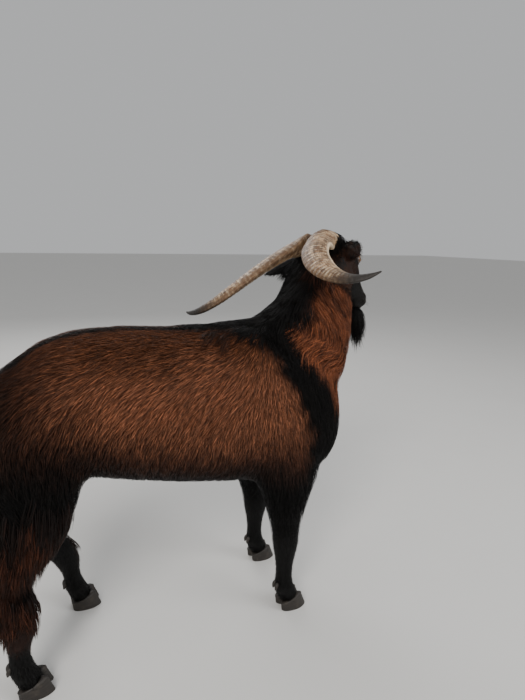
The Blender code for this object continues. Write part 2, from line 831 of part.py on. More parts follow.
def cut_clear(obj, neighbour, coll):
    grown = grown_copy(neighbour, GAP, coll)
    boolean(obj, grown, "DIFFERENCE", "MANIFOLD")
    bpy.data.objects.remove(grown, do_unlink=True)
    return keep_largest(obj, coll)


def keep_largest(obj, coll):
    name = obj.name
    weld_slivers(obj)
    pieces = split_loose(obj, coll)
    for extra in pieces[1:]:
        bpy.data.objects.remove(extra, do_unlink=True)
    pieces[0].name = name
    return pieces[0]


def weld_slivers(obj):
    bm = bmesh.new()
    bm.from_mesh(obj.data)
    bmesh.ops.remove_doubles(bm, verts=bm.verts, dist=MERGE)
    bmesh.ops.dissolve_degenerate(bm, edges=bm.edges, dist=MERGE / 10)
    bmesh.ops.triangulate(bm, faces=bm.faces[:])
    bm.to_mesh(obj.data)
    bm.free()


def tube(name, line, radius, coll):
    points = [Vector(p) for p in line]
    first = points[0] + (points[0] - points[1]).normalized() * radius * 0.7
    last = points[-1] + (points[-1] - points[-2]).normalized() * radius * 0.7
    points = [first] + points + [last]
    rings = []
    for k, point in enumerate(points):
        before = points[max(0, k - 1)]
        after = points[min(len(points) - 1, k + 1)]
        ahead = (after - before).normalized()
        side = ahead.orthogonal().normalized() if k == 0 else side - ahead * side.dot(ahead)
        side = side.normalized()
        up = ahead.cross(side)
        size = radius * (0.45 if k in (0, len(points) - 1) else 1.0)
        ring = []
        for i in range(12):
            a = 2 * math.pi * i / 12
            ring.append(point + side * size * math.cos(a) + up * size * math.sin(a))
        rings.append(ring)
    return loft(name, rings, coll)


def grown_copy(obj, distance, coll):
    grown = obj.copy()
    grown.data = obj.data.copy()
    coll.objects.link(grown)
    normals = [vert.normal.copy() for vert in grown.data.vertices]
    for vert, normal in zip(grown.data.vertices, normals):
        vert.co += normal * distance
    grown.data.update()
    return grown


def along_line(line, t):
    points = [Vector(p) for p in line]
    place = t * (len(points) - 1)
    k = min(int(place), len(points) - 2)
    return points[k].lerp(points[k + 1], place - k)


def lock_path(tree, root, lie, length, thick, lift, droop):
    spot, normal, face, distance = tree.find_nearest(root)
    lie = (lie - normal * lie.dot(normal)).normalized()
    path = [(spot - normal * LOCK_SUNK, normal)]
    place = spot
    for k in range(1, LOCK_STEPS + 1):
        t = k / LOCK_STEPS
        place = place + lie * length / LOCK_STEPS
        surface, normal, face, distance = tree.find_nearest(place)
        height = (place - surface).dot(normal)
        wanted = thick + lift * t * t
        if height < wanted:
            place = place + normal * (wanted - height)
        lie = (lie + Vector((0.0, 0.0, -droop / LOCK_STEPS))).normalized()
        path.append((place.copy(), normal))
    return path


def lock_mesh(path, half, thick, coll):
    bm = bmesh.new()
    rows = []
    for k, share in enumerate(LOCK_WIDTHS):
        place, normal = path[k]
        ahead = (path[k + 1][0] - path[max(0, k - 1)][0]).normalized()
        side = ahead.cross(normal).normalized()
        up = side.cross(ahead)
        wide = side * half * share
        high = up * thick * (0.6 + 0.4 * share)
        rows.append([bm.verts.new(place + v) for v in (wide, high, -wide)])
    tip = bm.verts.new(path[-1][0])
    for low, high in zip(rows, rows[1:]):
        for i in range(3):
            j = (i + 1) % 3
            bm.faces.new((low[i], low[j], high[j], high[i]))
    for i in range(3):
        bm.faces.new((rows[-1][i], rows[-1][(i + 1) % 3], tip))
    bm.faces.new(list(reversed(rows[0])))
    bmesh.ops.triangulate(bm, faces=bm.faces[:])
    return object_from_bmesh("lock", bm, coll)


def hair_on_tail(tail):
    rng = random.Random(SEED)
    locks = make_collection("tail_locks")
    count, reach, wide, thick = TAIL_LOCKS
    for i in range(count):
        t = 0.10 + 0.75 * (i + 0.5) / count
        k = min(int(t * (len(TAIL) - 1)), len(TAIL) - 2)
        share = t * (len(TAIL) - 1) - k
        x, z, deep, half = [p + (q - p) * share for p, q in zip(TAIL[k], TAIL[k + 1])]
        out = Vector((0.0, math.cos(2.4 * i), math.sin(2.4 * i)))
        start = Vector((x - 0.02, 0.0, z)) + out * half * 0.45
        ahead = Vector((-1.0, 0.0, -0.3 - 0.9 * t)).normalized()
        length = reach * rng.uniform(0.8, 1.1)
        path = []
        for number in range(LOCK_STEPS + 1):
            q = number / LOCK_STEPS
            place = start + ahead * length * q + out * half * 0.55 * math.sin(2.4 * q)
            path.append((place + Vector((0.0, 0.0, -0.030 * q * q)), out))
        lock_mesh(path, wide * rng.uniform(0.8, 1.2), thick, locks)
    fuse_locks(tail, locks)


def fuse_locks(bed, locks):
    mod = bed.modifiers.new("fuse", "BOOLEAN")
    mod.operation = "UNION"
    mod.solver = "MANIFOLD"
    mod.operand_type = "COLLECTION"
    mod.collection = locks
    apply_modifiers(bed)
    for obj in list(locks.objects):
        bpy.data.objects.remove(obj, do_unlink=True)
    bpy.data.collections.remove(locks)


def build_hair(name, flesh, tree, nodes, coll, cut_coll):
    spec = HAIR[name]
    bed = grown_copy(flesh, spec["depth"], coll)
    bed.name = name
    region = tube(name + "_region", spec["line"], spec["reach"], cut_coll)
    boolean(bed, region, "INTERSECT", "MANIFOLD")
    rng = random.Random(SEED + len(name))
    locks = make_collection(name + "_locks")
    along, across, length, half, thick, lift, droop = spec["locks"]
    spread = Vector(spec["across"])
    for i in range(along):
        for j in range(across):
            t = (i + 0.5 + rng.uniform(-0.25, 0.25)) / along
            v = (j + 0.5 + rng.uniform(-0.3, 0.3) - across / 2) / across * 1.7 + spec["bias"]
            root = along_line(spec["line"], t) + spread * spec["reach"] * v
            lie = Vector(spec["lie"]) + spread * (0.35 * v + rng.uniform(-0.12, 0.12))
            size = length * rng.uniform(0.75, 1.1)
            path = lock_path(tree, root, lie, size, thick, lift, droop)
            lock_mesh(path, half * rng.uniform(0.8, 1.15), thick, locks)
    fuse_locks(bed, locks)
    bed = cut_clear(bed, flesh, coll)
    for other in spec["beside"]:
        bed = cut_clear(bed, nodes[other], coll)
    return bed


def build_beard(flesh, coll):
    place = head_matrix()
    root = place @ Vector(BEARD_ROOT)
    hang = Vector(BEARD_HANG).normalized()
    side = place.to_3x3() @ Vector((0.0, 1.0, 0.0))
    side = (side - hang * side.dot(hang)).normalized()
    ahead = side.cross(hang)
    rings = []
    for t, wide, deep in BEARD_CORE:
        centre = root + hang * (BEARD_LENGTH * BEARD_CORE_SHARE * t - 0.012 * (1.0 - t))
        ring = []
        for i in range(12):
            a = 2 * math.pi * i / 12
            ring.append(centre + side * wide * math.cos(a) + ahead * deep * math.sin(a))
        rings.append(ring)
    beard = loft("beard", rings, coll)
    rng = random.Random(SEED)
    locks = make_collection("beard_locks")
    count, half, thick = BEARD_LOCKS
    for i in range(count):
        a = 2.4 * i
        r = math.sqrt((i + 0.5) / count)
        start = root + side * 0.024 * r * math.cos(a) + ahead * 0.017 * r * math.sin(a)
        out = (side * math.cos(a) + ahead * math.sin(a)).normalized()
        length = BEARD_LENGTH * rng.uniform(0.72, 1.05) * (1.0 - 0.25 * r)
        path = []
        for k in range(LOCK_STEPS + 1):
            t = k / LOCK_STEPS
            sway = side * rng.uniform(-0.004, 0.004) + out * 0.016 * r * math.sin(2.2 * t)
            path.append((start + hang * length * t + sway, out))
        lock_mesh(path, half * rng.uniform(0.8, 1.2), thick, locks)
    fuse_locks(beard, locks)
    return cut_clear(beard, flesh, coll)


def put_material(obj, materials, name):
    obj.data.materials.clear()
    obj.data.materials.append(materials[name])
    for face in obj.data.polygons:
        face.material_index = 0
        face.use_smooth = False


def recentre(objects):
    low = Vector((9.0, 9.0, 9.0))
    high = Vector((-9.0, -9.0, -9.0))
    for obj in objects:
        for vert in obj.data.vertices:
            for i in range(3):
                low[i] = min(low[i], vert.co[i])
                high[i] = max(high[i], vert.co[i])
    shift = Vector((-(low.x + high.x) / 2, -(low.y + high.y) / 2, -low.z))
    for obj in objects:
        obj.data.transform(Matrix.Translation(shift))
    print("moved by", [round(v, 5) for v in shift])


def kind_of(name):
    if name.startswith("horn"):
        return "horn"
    if name.startswith("eye"):
        return "eye"
    if "claw" in name:
        return "hoof"
    if "leg" in name or name in ("head", "tail", "mane", "beard", "forelock", "breast_hair"):
        return "black"
    if name == "neck" or name.endswith(("skirt", "feather")):
        return "brown"
    return "chestnut"


def add_feet(nodes, coll):
    for foot in LEGS:
        trim_leg(nodes[foot + "_lower_leg"], foot)
        for side, label in ((1, "left_claw"), (-1, "right_claw")):
            name = foot + "_hoof_" + label
            nodes[name] = build_claw(name, foot, side, coll)


def add_to_head(nodes, whole, coll, cut_coll):
    shape_face(nodes["head"], cut_coll)
    for side, label in ((1, "left"), (-1, "right")):
        horn = build_horn("horn_" + label, side, coll)
        nodes["horn_" + label] = cut_clear(horn, whole, coll)
        centre = head_matrix() @ mirrored(EYE_CENTRE, side)
        eye = ball("eye_" + label, centre, (EYE_RADIUS,) * 3, coll, 12, 8)
        nodes["eye_" + label] = eye
        nodes["head"] = cut_clear(nodes["head"], eye, coll)
        ear = build_ear(label, side, coll)
        nodes["ear_" + label] = cut_clear(ear, whole, coll)


def add_hair(nodes, whole, coll, cut_coll):
    tree = BVHTree.FromPolygons(
        [vert.co.copy() for vert in whole.data.vertices],
        [tuple(face.vertices) for face in whole.data.polygons],
    )
    hair_on_tail(nodes["tail"])
    nodes["tail"] = cut_clear(nodes["tail"], nodes["torso"], coll)
    nodes["beard"] = build_beard(whole, coll)
    for name in HAIR:
        nodes[name] = build_hair(name, whole, tree, nodes, coll, cut_coll)


def main():
    clear_scene()
    coll = make_collection(OBJECT_NAME)
    cut_coll = make_collection("cutters")
    materials = {name: make_material(name) for name in COLOURS}
    flesh = thin_down(build_flesh(coll), FLESH_FACES)
    whole = grown_copy(flesh, 0.0, coll)
    nodes = part_flesh(flesh, coll, cut_coll)
    add_feet(nodes, coll)
    add_to_head(nodes, whole, coll, cut_coll)
    add_hair(nodes, whole, coll, cut_coll)
    bpy.data.objects.remove(whole, do_unlink=True)
    for name, obj in nodes.items():
        obj.name = name
        obj.data.name = name
        put_material(obj, materials, kind_of(name))
    recentre(list(nodes.values()))
    for obj in list(cut_coll.objects):
        bpy.data.objects.remove(obj, do_unlink=True)


main()
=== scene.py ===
import json
import math
import bmesh
import bpy
import numpy as np
from mathutils import Matrix, Vector, kdtree
from mathutils.bvhtree import BVHTree

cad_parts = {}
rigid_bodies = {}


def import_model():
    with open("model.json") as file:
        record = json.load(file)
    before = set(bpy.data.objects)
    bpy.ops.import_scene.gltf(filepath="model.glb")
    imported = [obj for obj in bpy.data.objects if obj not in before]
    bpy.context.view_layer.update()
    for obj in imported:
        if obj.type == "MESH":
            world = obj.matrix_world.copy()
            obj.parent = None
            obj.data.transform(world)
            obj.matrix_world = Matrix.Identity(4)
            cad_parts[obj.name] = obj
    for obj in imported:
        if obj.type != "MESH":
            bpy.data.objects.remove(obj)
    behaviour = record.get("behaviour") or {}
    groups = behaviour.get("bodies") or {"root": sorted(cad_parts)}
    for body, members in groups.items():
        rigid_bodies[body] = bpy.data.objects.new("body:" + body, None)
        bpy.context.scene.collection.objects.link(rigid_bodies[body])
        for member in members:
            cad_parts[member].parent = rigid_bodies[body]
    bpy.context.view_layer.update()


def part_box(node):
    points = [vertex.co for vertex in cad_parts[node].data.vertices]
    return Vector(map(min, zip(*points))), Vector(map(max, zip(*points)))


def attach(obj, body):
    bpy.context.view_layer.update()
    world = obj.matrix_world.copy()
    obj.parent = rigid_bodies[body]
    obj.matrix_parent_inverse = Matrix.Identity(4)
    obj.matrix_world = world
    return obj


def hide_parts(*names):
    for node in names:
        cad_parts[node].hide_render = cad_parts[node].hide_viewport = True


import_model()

# The goat's own frame: +x ahead, +y its left, z up, ground at 0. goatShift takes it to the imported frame.
headPose = {"poll": (0.931, 0.078, 1.057), "turn": (26.0, 34.0, -17.0), "hornTurn": (19.9, 33.0, -17.0)}
eyeSize = {"centre": (0.106, 0.0585, -0.026), "radius": 0.0165}


def turnedBy(yaw, pitch, roll):
    turn = Matrix.Rotation(math.radians(yaw), 4, "Z")
    nod = Matrix.Rotation(math.radians(pitch), 4, "Y")
    lean = Matrix.Rotation(math.radians(roll), 4, "X")
    return turn @ nod @ lean


headPlace = Matrix.Translation(headPose["poll"]) @ turnedBy(*headPose["turn"])
hornPlace = Matrix.Translation(headPose["poll"]) @ turnedBy(*headPose["hornTurn"])
eyeLow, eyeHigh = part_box("eye_left")
goatShift = (eyeLow + eyeHigh) / 2 - headPlace @ Vector(eyeSize["centre"])
print("frame loaded, goat shift", [round(v, 4) for v in goatShift])


def toArray(matrix):
    return np.array([list(row) for row in matrix])


def moved(matrix, points):
    m = toArray(matrix)
    return points @ m[:3, :3].T + m[:3, 3]


headTurn = toArray(headPlace)[:3, :3]


def headPoints(points):
    return moved(headPlace.inverted(), points)


def eyeCentre(side):
    return np.array(eyeSize["centre"]) * [1, side, 1]


def ease(x, low, high):
    t = np.clip((x - low) / (high - low), 0.0, 1.0)
    return t * t * (3.0 - 2.0 * t)


def unit(v):
    return v / np.maximum(np.linalg.norm(v, axis=-1, keepdims=True), 1e-9)


def rowDot(a, b):
    return (a * b).sum(-1, keepdims=True)


def wobble(points, size, seed):
    # smooth made-up variation between about -1 and 1
    rng = np.random.default_rng(seed)
    total = np.zeros(len(points))
    for _ in range(7):
        way = rng.normal(size=3)
        way /= np.linalg.norm(way)
        total += np.sin(points @ way * (2 * math.pi / size) * rng.uniform(0.6, 1.6) + rng.uniform(0, 6.3))
    return total / 3.0


def anglesRound(count):
    return np.arange(count) * 2 * math.pi / count


# meshes from arrays

def newObject(name, data):
    made = bpy.data.objects.new(name, data)
    bpy.context.scene.collection.objects.link(made)
    return made


def meshPiece(name, points, faces, colours=None, uvs=None, smooth=True, place=True):
    mesh = bpy.data.meshes.new(name)
    points = np.asarray(points, float)
    if place:
        points = points + np.array(goatShift)
    faces = np.asarray(faces, np.int32)
    count, sides = faces.shape
    mesh.vertices.add(len(points))
    mesh.vertices.foreach_set("co", points.astype(np.float32).ravel())
    mesh.loops.add(count * sides)
    mesh.loops.foreach_set("vertex_index", faces.ravel())
    mesh.polygons.add(count)
    mesh.polygons.foreach_set("loop_start", np.arange(0, count * sides, sides, dtype=np.int32))
    mesh.polygons.foreach_set("use_smooth", np.full(count, smooth))
    mesh.update(calc_edges=True)
    if uvs is not None:
        layer = mesh.uv_layers.new(name="OFBake")
        layer.data.foreach_set("uv", np.asarray(uvs)[faces.ravel()].astype(np.float32).ravel())
    if colours is not None:
        putColours(mesh, colours)
    return newObject(name, mesh)


def putValues(mesh, name, values):
    # one number or one vector for each point
    values = np.asarray(values, np.float32)
    kind, field = ("FLOAT", "value") if values.ndim == 1 else ("FLOAT_VECTOR", "vector")
    mesh.attributes.new(name, kind, "POINT").data.foreach_set(field, values.ravel())


def putColours(mesh, colours):
    layer = mesh.color_attributes.new("furColour", "FLOAT_COLOR", "POINT")
    full = np.ones((len(colours), 4), np.float32)
    full[:, :3] = colours
    layer.data.foreach_set("color", full.ravel())


def readMesh(mesh):
    points = np.empty(len(mesh.vertices) * 3, np.float32)
    mesh.vertices.foreach_get("co", points)
    mesh.calc_loop_triangles()
    tris = np.empty(len(mesh.loop_triangles) * 3, np.int32)
    mesh.loop_triangles.foreach_get("vertices", tris)
    return points.reshape(-1, 3).astype(float), tris.reshape(-1, 3)


def vertexNormals(points, tris):
    a, b, c = points[tris[:, 0]], points[tris[:, 1]], points[tris[:, 2]]
    face = np.cross(b - a, c - a)
    normals = np.zeros_like(points)
    for k in range(3):
        for axis in range(3):
            normals[:, axis] += np.bincount(tris[:, k], face[:, axis], len(points))
    return unit(normals)


def spreadOverMesh(values, tris, rounds):
    pairs = np.concatenate([tris[:, [0, 1]], tris[:, [1, 2]], tris[:, [2, 0]]])
    pairs = np.concatenate([pairs, pairs[:, ::-1]])
    count = np.bincount(pairs[:, 0], minlength=len(values)) + 1.0
    for _ in range(rounds):
        total = values.copy()
        for axis in range(values.shape[1]):
            total[:, axis] += np.bincount(pairs[:, 0], values[pairs[:, 1], axis], len(values))
        values = total / count[:, None]
    return values


def ringSkin(rings):
    # quads between rings of equal count, with fans at both ends
    rings = [np.asarray(r, float) for r in rings]
    count = len(rings[0])
    points = np.concatenate(rings + [rings[0].mean(0)[None], rings[-1].mean(0)[None]])
    tris = []
    for k in range(len(rings) - 1):
        for i in range(count):
            j = (i + 1) % count
            a, b, c, d = k * count + i, k * count + j, (k + 1) * count + j, (k + 1) * count + i
            tris += [(a, b, c), (a, c, d)]
    first, last = len(points) - 2, len(points) - 1
    for i in range(count):
        j = (i + 1) % count
        tris.append((first, j, i))
        tris.append((last, (len(rings) - 1) * count + i, (len(rings) - 1) * count + j))
    tris = np.array(tris)
    a, b, c = points[tris[:, 0]], points[tris[:, 1]], points[tris[:, 2]]
    if (a * np.cross(b, c)).sum() < 0:
        tris = tris[:, ::-1]
    return points, tris


def rounded(angle, power):
    c, s = np.cos(angle), np.sin(angle)
    return np.sign(c) * np.abs(c) ** power, np.sign(s) * np.abs(s) ** power


# the skin: the same named sizes as the solids, smoothed and drawn in by the depth of the coat

bodySizes = {
    # x, top, bottom, half width
    "torso": [(-0.088, 0.655, 0.575, 0.045), (-0.070, 0.695, 0.520, 0.090), (-0.030, 0.722, 0.480, 0.128),
              (0.030, 0.760, 0.470, 0.148), (0.100, 0.810, 0.478, 0.158), (0.180, 0.832, 0.470, 0.166),
              (0.290, 0.835, 0.440, 0.178), (0.410, 0.826, 0.412, 0.184), (0.520, 0.824, 0.390, 0.180),
              (0.620, 0.832, 0.372, 0.170), (0.710, 0.826, 0.360, 0.161), (0.790, 0.790, 0.358, 0.152),
              (0.855, 0.730, 0.378, 0.132), (0.900, 0.675, 0.420, 0.094), (0.917, 0.630, 0.480, 0.046)],
    # centre x, y, z, half depth, half width, tilt
    "neck": [(0.700, 0.000, 0.640, 0.190, 0.125, 58), (0.793, 0.000, 0.735, 0.180, 0.112, 62),
             (0.853, 0.012, 0.815, 0.141, 0.097, 66), (0.887, 0.034, 0.890, 0.115, 0.088, 72),
             (0.904, 0.056, 0.955, 0.100, 0.078, 78), (0.917, 0.070, 1.000, 0.078, 0.064, 80)],
    # x, height, half depth, half width
    "tail": [(-0.045, 0.690, 0.044, 0.042), (-0.085, 0.712, 0.034, 0.038), (-0.120, 0.716, 0.030, 0.036),
             (-0.155, 0.702, 0.028, 0.034), (-0.184, 0.672, 0.022, 0.026), (-0.200, 0.640, 0.011, 0.014)],
    "bodyVoxel": 0.007, "skinVoxel": 0.0066,
}

headSizes = {
    # x, top, bottom, half width, how much wider above than below
    "rings": [(-0.046, -0.018, -0.085, 0.038, 0.00), (-0.024, 0.004, -0.118, 0.058, 0.02),
              (0.016, 0.014, -0.146, 0.067, 0.04), (0.056, 0.018, -0.158, 0.069, 0.10),
              (0.096, 0.012, -0.154, 0.068, 0.18), (0.134, 0.000, -0.138, 0.060, 0.20),
              (0.172, -0.013, -0.121, 0.050, 0.12), (0.212, -0.022, -0.108, 0.042, 0.04),
              (0.250, -0.031, -0.103, 0.039, 0.00), (0.278, -0.041, -0.099, 0.036, 0.00),
              (0.295, -0.054, -0.090, 0.026, 0.00)],
    # centre and radii of the swellings, for both sides
    "swellings": {
        "orbit": ((0.102, 0.052, -0.018), (0.032, 0.021, 0.021)),
        "cheek": ((0.060, 0.040, -0.100), (0.056, 0.030, 0.052)),
        "nostrilWing": ((0.272, 0.021, -0.056), (0.022, 0.017, 0.017)),
        "upperLip": ((0.262, 0.024, -0.078), (0.030, 0.016, 0.012)),
        "chin": ((0.254, 0.008, -0.104), (0.026, 0.018, 0.014)),
    },
    "mouth": [(0.214, 0.043, -0.0815), (0.232, 0.041, -0.0840), (0.254, 0.040, -0.0868),
              (0.278, 0.035, -0.0880), (0.292, 0.024, -0.0875), (0.299, 0.000, -0.0870)],
    "nostril": [(0.294, 0.0125, -0.0640), (0.2935, 0.0185, -0.0585), (0.288, 0.0235, -0.0540),
                (0.281, 0.0260, -0.0530)],
}

legSizes = {
    # x, height, half depth, half width
    "front": [(-0.020, 0.560, 0.105, 0.055), (0.010, 0.450, 0.114, 0.060), (0.018, 0.390, 0.104, 0.058),
              (0.014, 0.335, 0.077, 0.052), (0.006, 0.270, 0.051, 0.044), (0.005, 0.225, 0.045, 0.041),
              (0.004, 0.195, 0.042, 0.039), (0.000, 0.150, 0.031, 0.031), (-0.002, 0.110, 0.027, 0.027),
              (-0.003, 0.080, 0.029, 0.029), (-0.001, 0.062, 0.033, 0.032), (0.010, 0.040, 0.031, 0.033),
              (0.016, 0.024, 0.028, 0.031)],
    "hind": [(0.020, 0.640, 0.105, 0.055), (0.034, 0.560, 0.122, 0.066), (0.046, 0.490, 0.116, 0.070),
             (0.044, 0.430, 0.100, 0.064), (0.026, 0.375, 0.086, 0.055), (-0.002, 0.330, 0.072, 0.048),
             (-0.020, 0.290, 0.064, 0.044), (-0.022, 0.250, 0.056, 0.041), (-0.010, 0.205, 0.049, 0.038),
             (-0.004, 0.160, 0.040, 0.033), (-0.008, 0.115, 0.027, 0.028), (-0.006, 0.082, 0.029, 0.030),
             (-0.003, 0.062, 0.033, 0.033), (0.010, 0.040, 0.031, 0.034), (0.016, 0.024, 0.028, 0.032)],
    # foot x, foot y, y high on the leg, x shift high on the leg
    "stance": {"front_right": (0.700, -0.130, -0.098, 0.000), "front_left": (0.730, 0.120, 0.098, -0.030),
               "hind_right": (0.010, -0.130, -0.095, 0.000), "hind_left": (0.165, 0.130, 0.095, -0.140)},
    "shiftFrom": 0.060, "shiftTo": 0.480,
}

earSizes = {
    "root": (0.004, 0.058, -0.044), "length": 0.140, "halfWidth": 0.032, "thickness": 0.0052, "face": -62.0,
    "pose": {"left": (30.0, -24.0), "right": (60.0, -40.0)},
    # share of length, share of the half width
    "outline": [(0.00, 0.50), (0.14, 0.67), (0.29, 0.83), (0.43, 0.94),
                (0.57, 0.90), (0.71, 0.79), (0.86, 0.58), (1.00, 0.12)],
}


def torsoForm():
    rings = []
    for x, top, bottom, half in bodySizes["torso"]:
        c, s = rounded(anglesRound(32), 0.86)
        high = (top + bottom) / 2 + (top - bottom) / 2 * s
        rings.append(np.stack([np.full(32, x), half * c * (1 - 0.10 * s), high], 1))
    return ringSkin(rings)


def torsoAt(x, column):
    # the torso's top (1) or bottom (2) at any x
    table = np.array(bodySizes["torso"])
    return np.interp(x, table[:, 0], table[:, column])


def neckForm():
    rings = []
    for x, y, z, deep, half, tilt in bodySizes["neck"]:
        ahead = np.array([math.sin(math.radians(tilt)), 0.0, -math.cos(math.radians(tilt))])
        c, s = rounded(anglesRound(28), 0.95)
        around = ahead * (deep * c)[:, None] + np.array([0, 1.0, 0]) * (half * s)[:, None]
        rings.append(np.array([x, y, z]) + around)
    return ringSkin(rings)


def tailForm():
    rings = []
    for k, (x, z, deep, half) in enumerate(bodySizes["tail"]):
        slope = math.radians(-15 - 14 * k)
        up = np.array([math.sin(slope), 0.0, math.cos(slope)])
        a = anglesRound(14)[:, None]
        rings.append(np.array([x, 0.0, z]) + up * deep * np.sin(a) + np.array([0, half, 0]) * np.cos(a))
    return ringSkin(rings)


def legForm(name):
    footX, footY, highY, lean = legSizes["stance"][name]
    rings = []
    for x, z, deep, half in legSizes[name.split("_")[0]]:
        t = float(ease(z, legSizes["shiftFrom"], legSizes["shiftTo"]))
        a = anglesRound(24)
        centreX, centreY = footX + x + lean * t, footY + (highY - footY) * t
        rings.append(np.stack([centreX + deep * np.cos(a), centreY + half * np.sin(a), np.full(24, z)], 1))
    return ringSkin(rings)


def ballForm(centre, radii, columns=24, rows=14):
    rings = []
    for k in range(1, rows):
        a = math.pi * k / rows
        b = anglesRound(columns)
        ring = np.stack([np.cos(b) * math.sin(a), np.sin(b) * math.sin(a), np.full(columns, -math.cos(a))], 1)
        rings.append(ring)
    points, tris = ringSkin(rings)
    points[-2], points[-1] = (0, 0, -1), (0, 0, 1)
    return points * np.array(radii) + np.array(centre), tris


def headForms():
    rings = []
    for x, top, bottom, half, taper in headSizes["rings"]:
        c, s = rounded(anglesRound(28), 0.88)
        ring = [np.full(28, x), half * c * (1 + taper * s), (top + bottom) / 2 + (top - bottom) / 2 * s]
        rings.append(np.stack(ring, 1))
    forms = [ringSkin(rings)]
    for centre, radii in headSizes["swellings"].values():
        for side in (1, -1):
            forms.append(ballForm((centre[0], centre[1] * side, centre[2]), radii))
    return [(moved(headPlace, points), tris) for points, tris in forms]


def joinForms(name, forms):
    points, tris, start = [], [], 0
    for p, t in forms:
        points.append(p)
        tris.append(t + start)
        start += len(p)
    return meshPiece(name, np.concatenate(points), np.concatenate(tris), place=False)


def finishModifiers(piece):
    graph = bpy.context.evaluated_depsgraph_get()
    mesh = bpy.data.meshes.new_from_object(piece.evaluated_get(graph))
    piece.modifiers.clear()
    old, piece.data = piece.data, mesh
    bpy.data.meshes.remove(old)
    return piece


def voxelFuse(piece, size):
    mod = piece.modifiers.new("fuse", "REMESH")
    mod.mode, mod.voxel_size, mod.adaptivity = "VOXEL", size, 0.0
    return finishModifiers(piece)


def smoothWhere(piece, weightOf, factor, rounds):
    points, _ = readMesh(piece.data)
    weights = weightOf(points)
    group = piece.vertex_groups.new(name="smooth")
    levels = np.round(weights * 20).astype(int)
    for level in range(1, 21):
        chosen = np.nonzero(levels == level)[0]
        if len(chosen):
            group.add(chosen.tolist(), level / 20, "REPLACE")
    mod = piece.modifiers.new("smooth", "SMOOTH")
    mod.factor, mod.iterations, mod.vertex_group = factor, rounds, "smooth"
    finishModifiers(piece)
    piece.vertex_groups.clear()
    return piece


def eyeFrame(side):
    # out of the eye, along the slit and up across it, in the head's frame
    out = unit(np.array([0.18, side, 0.10]))
    along = np.array([math.cos(math.radians(-6)), 0.0, math.sin(math.radians(-6))])
    along = unit(along - out * along.dot(out))
    up = np.cross(out, along)
    return out, along, up if up[2] > 0 else -up


faceSettings = {
    "opening": (0.0146, 0.0088), "almond": 1.6, "foldAt": 1.62, "foldDepth": 0.0007,
    "mouthDepth": 0.0036, "mouthHalf": 0.0017, "lipSwell": 0.0014,
    "nostrilDepth": 0.0065, "nostrilHalf": 0.0026, "philtrumDepth": 0.0016,
    # distance from the eye's middle, in openings, and height of the lid over the ball there
    "lidAt": [0.0, 0.84, 0.97, 1.10, 1.30, 1.8], "lidRise": [-0.006, -0.005, -0.0008, 0.0017, 0.0023, 0.0026],
}


def distanceToPath(points, path):
    path = np.asarray(path, float)
    best = np.full(len(points), 9.0)
    for a, b in zip(path[:-1], path[1:]):
        ab = b - a
        t = np.clip(((points - a) @ ab) / max(ab @ ab, 1e-12), 0, 1)
        best = np.minimum(best, np.linalg.norm(points - a - t[:, None] * ab, axis=1))
    return best


def mouthPath():
    mouth = np.array(headSizes["mouth"])
    return np.concatenate([mouth * [1, -1, 1], mouth[::-1]])


def lidShare(a, b):
    # 1 on the edge of the almond opening, less inside it
    half, high = faceSettings["opening"]
    power = faceSettings["almond"]
    return (np.abs(a / half) ** power + np.abs(b / high) ** power) ** (1 / power)


def shapeFace(points, tris):
    # works in the head's frame; lids, nostrils, lips and the folds round them
    s = faceSettings
    local = headPoints(points)
    normals = vertexNormals(local, tris)
    near = local[:, 0] > 0.02
    moveBy = np.zeros_like(local)
    mouth = np.array(headSizes["mouth"])
    d = distanceToPath(local, mouthPath())
    groove = np.exp(-(d / s["mouthHalf"]) ** 2)
    moveBy -= normals * (s["mouthDepth"] * groove)[:, None]
    above = ease(local[:, 2] - np.interp(local[:, 0], mouth[:, 0], mouth[:, 2]), 0.000, 0.004)
    swell = np.exp(-((d - 0.0055) / 0.0035) ** 2) * above * ease(local[:, 0], 0.20, 0.25)
    moveBy += normals * (s["lipSwell"] * swell)[:, None]
    philtrum = np.exp(-(local[:, 1] / 0.0016) ** 2) * ease(local[:, 0], 0.284, 0.292)
    philtrum *= ease(local[:, 2], -0.088, -0.083) * (1 - ease(local[:, 2], -0.066, -0.058))
    moveBy -= normals * (s["philtrumDepth"] * philtrum)[:, None]
    for side in (1, -1):
        path = np.array(headSizes["nostril"]) * [1, side, 1]
        d = distanceToPath(local, path)
        pit = np.exp(-(d / s["nostrilHalf"]) ** 2)
        rim = np.exp(-((d - 0.0060) / 0.0026) ** 2)
        moveBy += normals * (0.0010 * rim - s["nostrilDepth"] * pit)[:, None]
    moveBy[~near] = 0
    local = local + moveBy
    for side in (1, -1):
        out, along, up = eyeFrame(side)
        centre = eyeCentre(side)
        rel = local - centre
        a, b, c = rel @ along, rel @ up, rel @ out
        front = (c > 0) & (np.linalg.norm(rel, axis=1) < 0.045)
        e = lidShare(a, b)
        reach = np.linalg.norm(rel, axis=1)
        wanted = np.interp(e, s["lidAt"], eyeSize["radius"] + np.array(s["lidRise"]))
        hold = (1 - ease(e, 1.25, 3.0)) * front
        target = reach + (wanted - reach) * hold
        fold = np.exp(-((e - s["foldAt"]) / 0.12) ** 2) * ease(b, 0.0, 0.006)
        target = target - s["foldDepth"] * fold * front
        local = np.where(front[:, None], centre + rel * (target / np.maximum(reach, 1e-6))[:, None], local)
    return moved(headPlace, local)


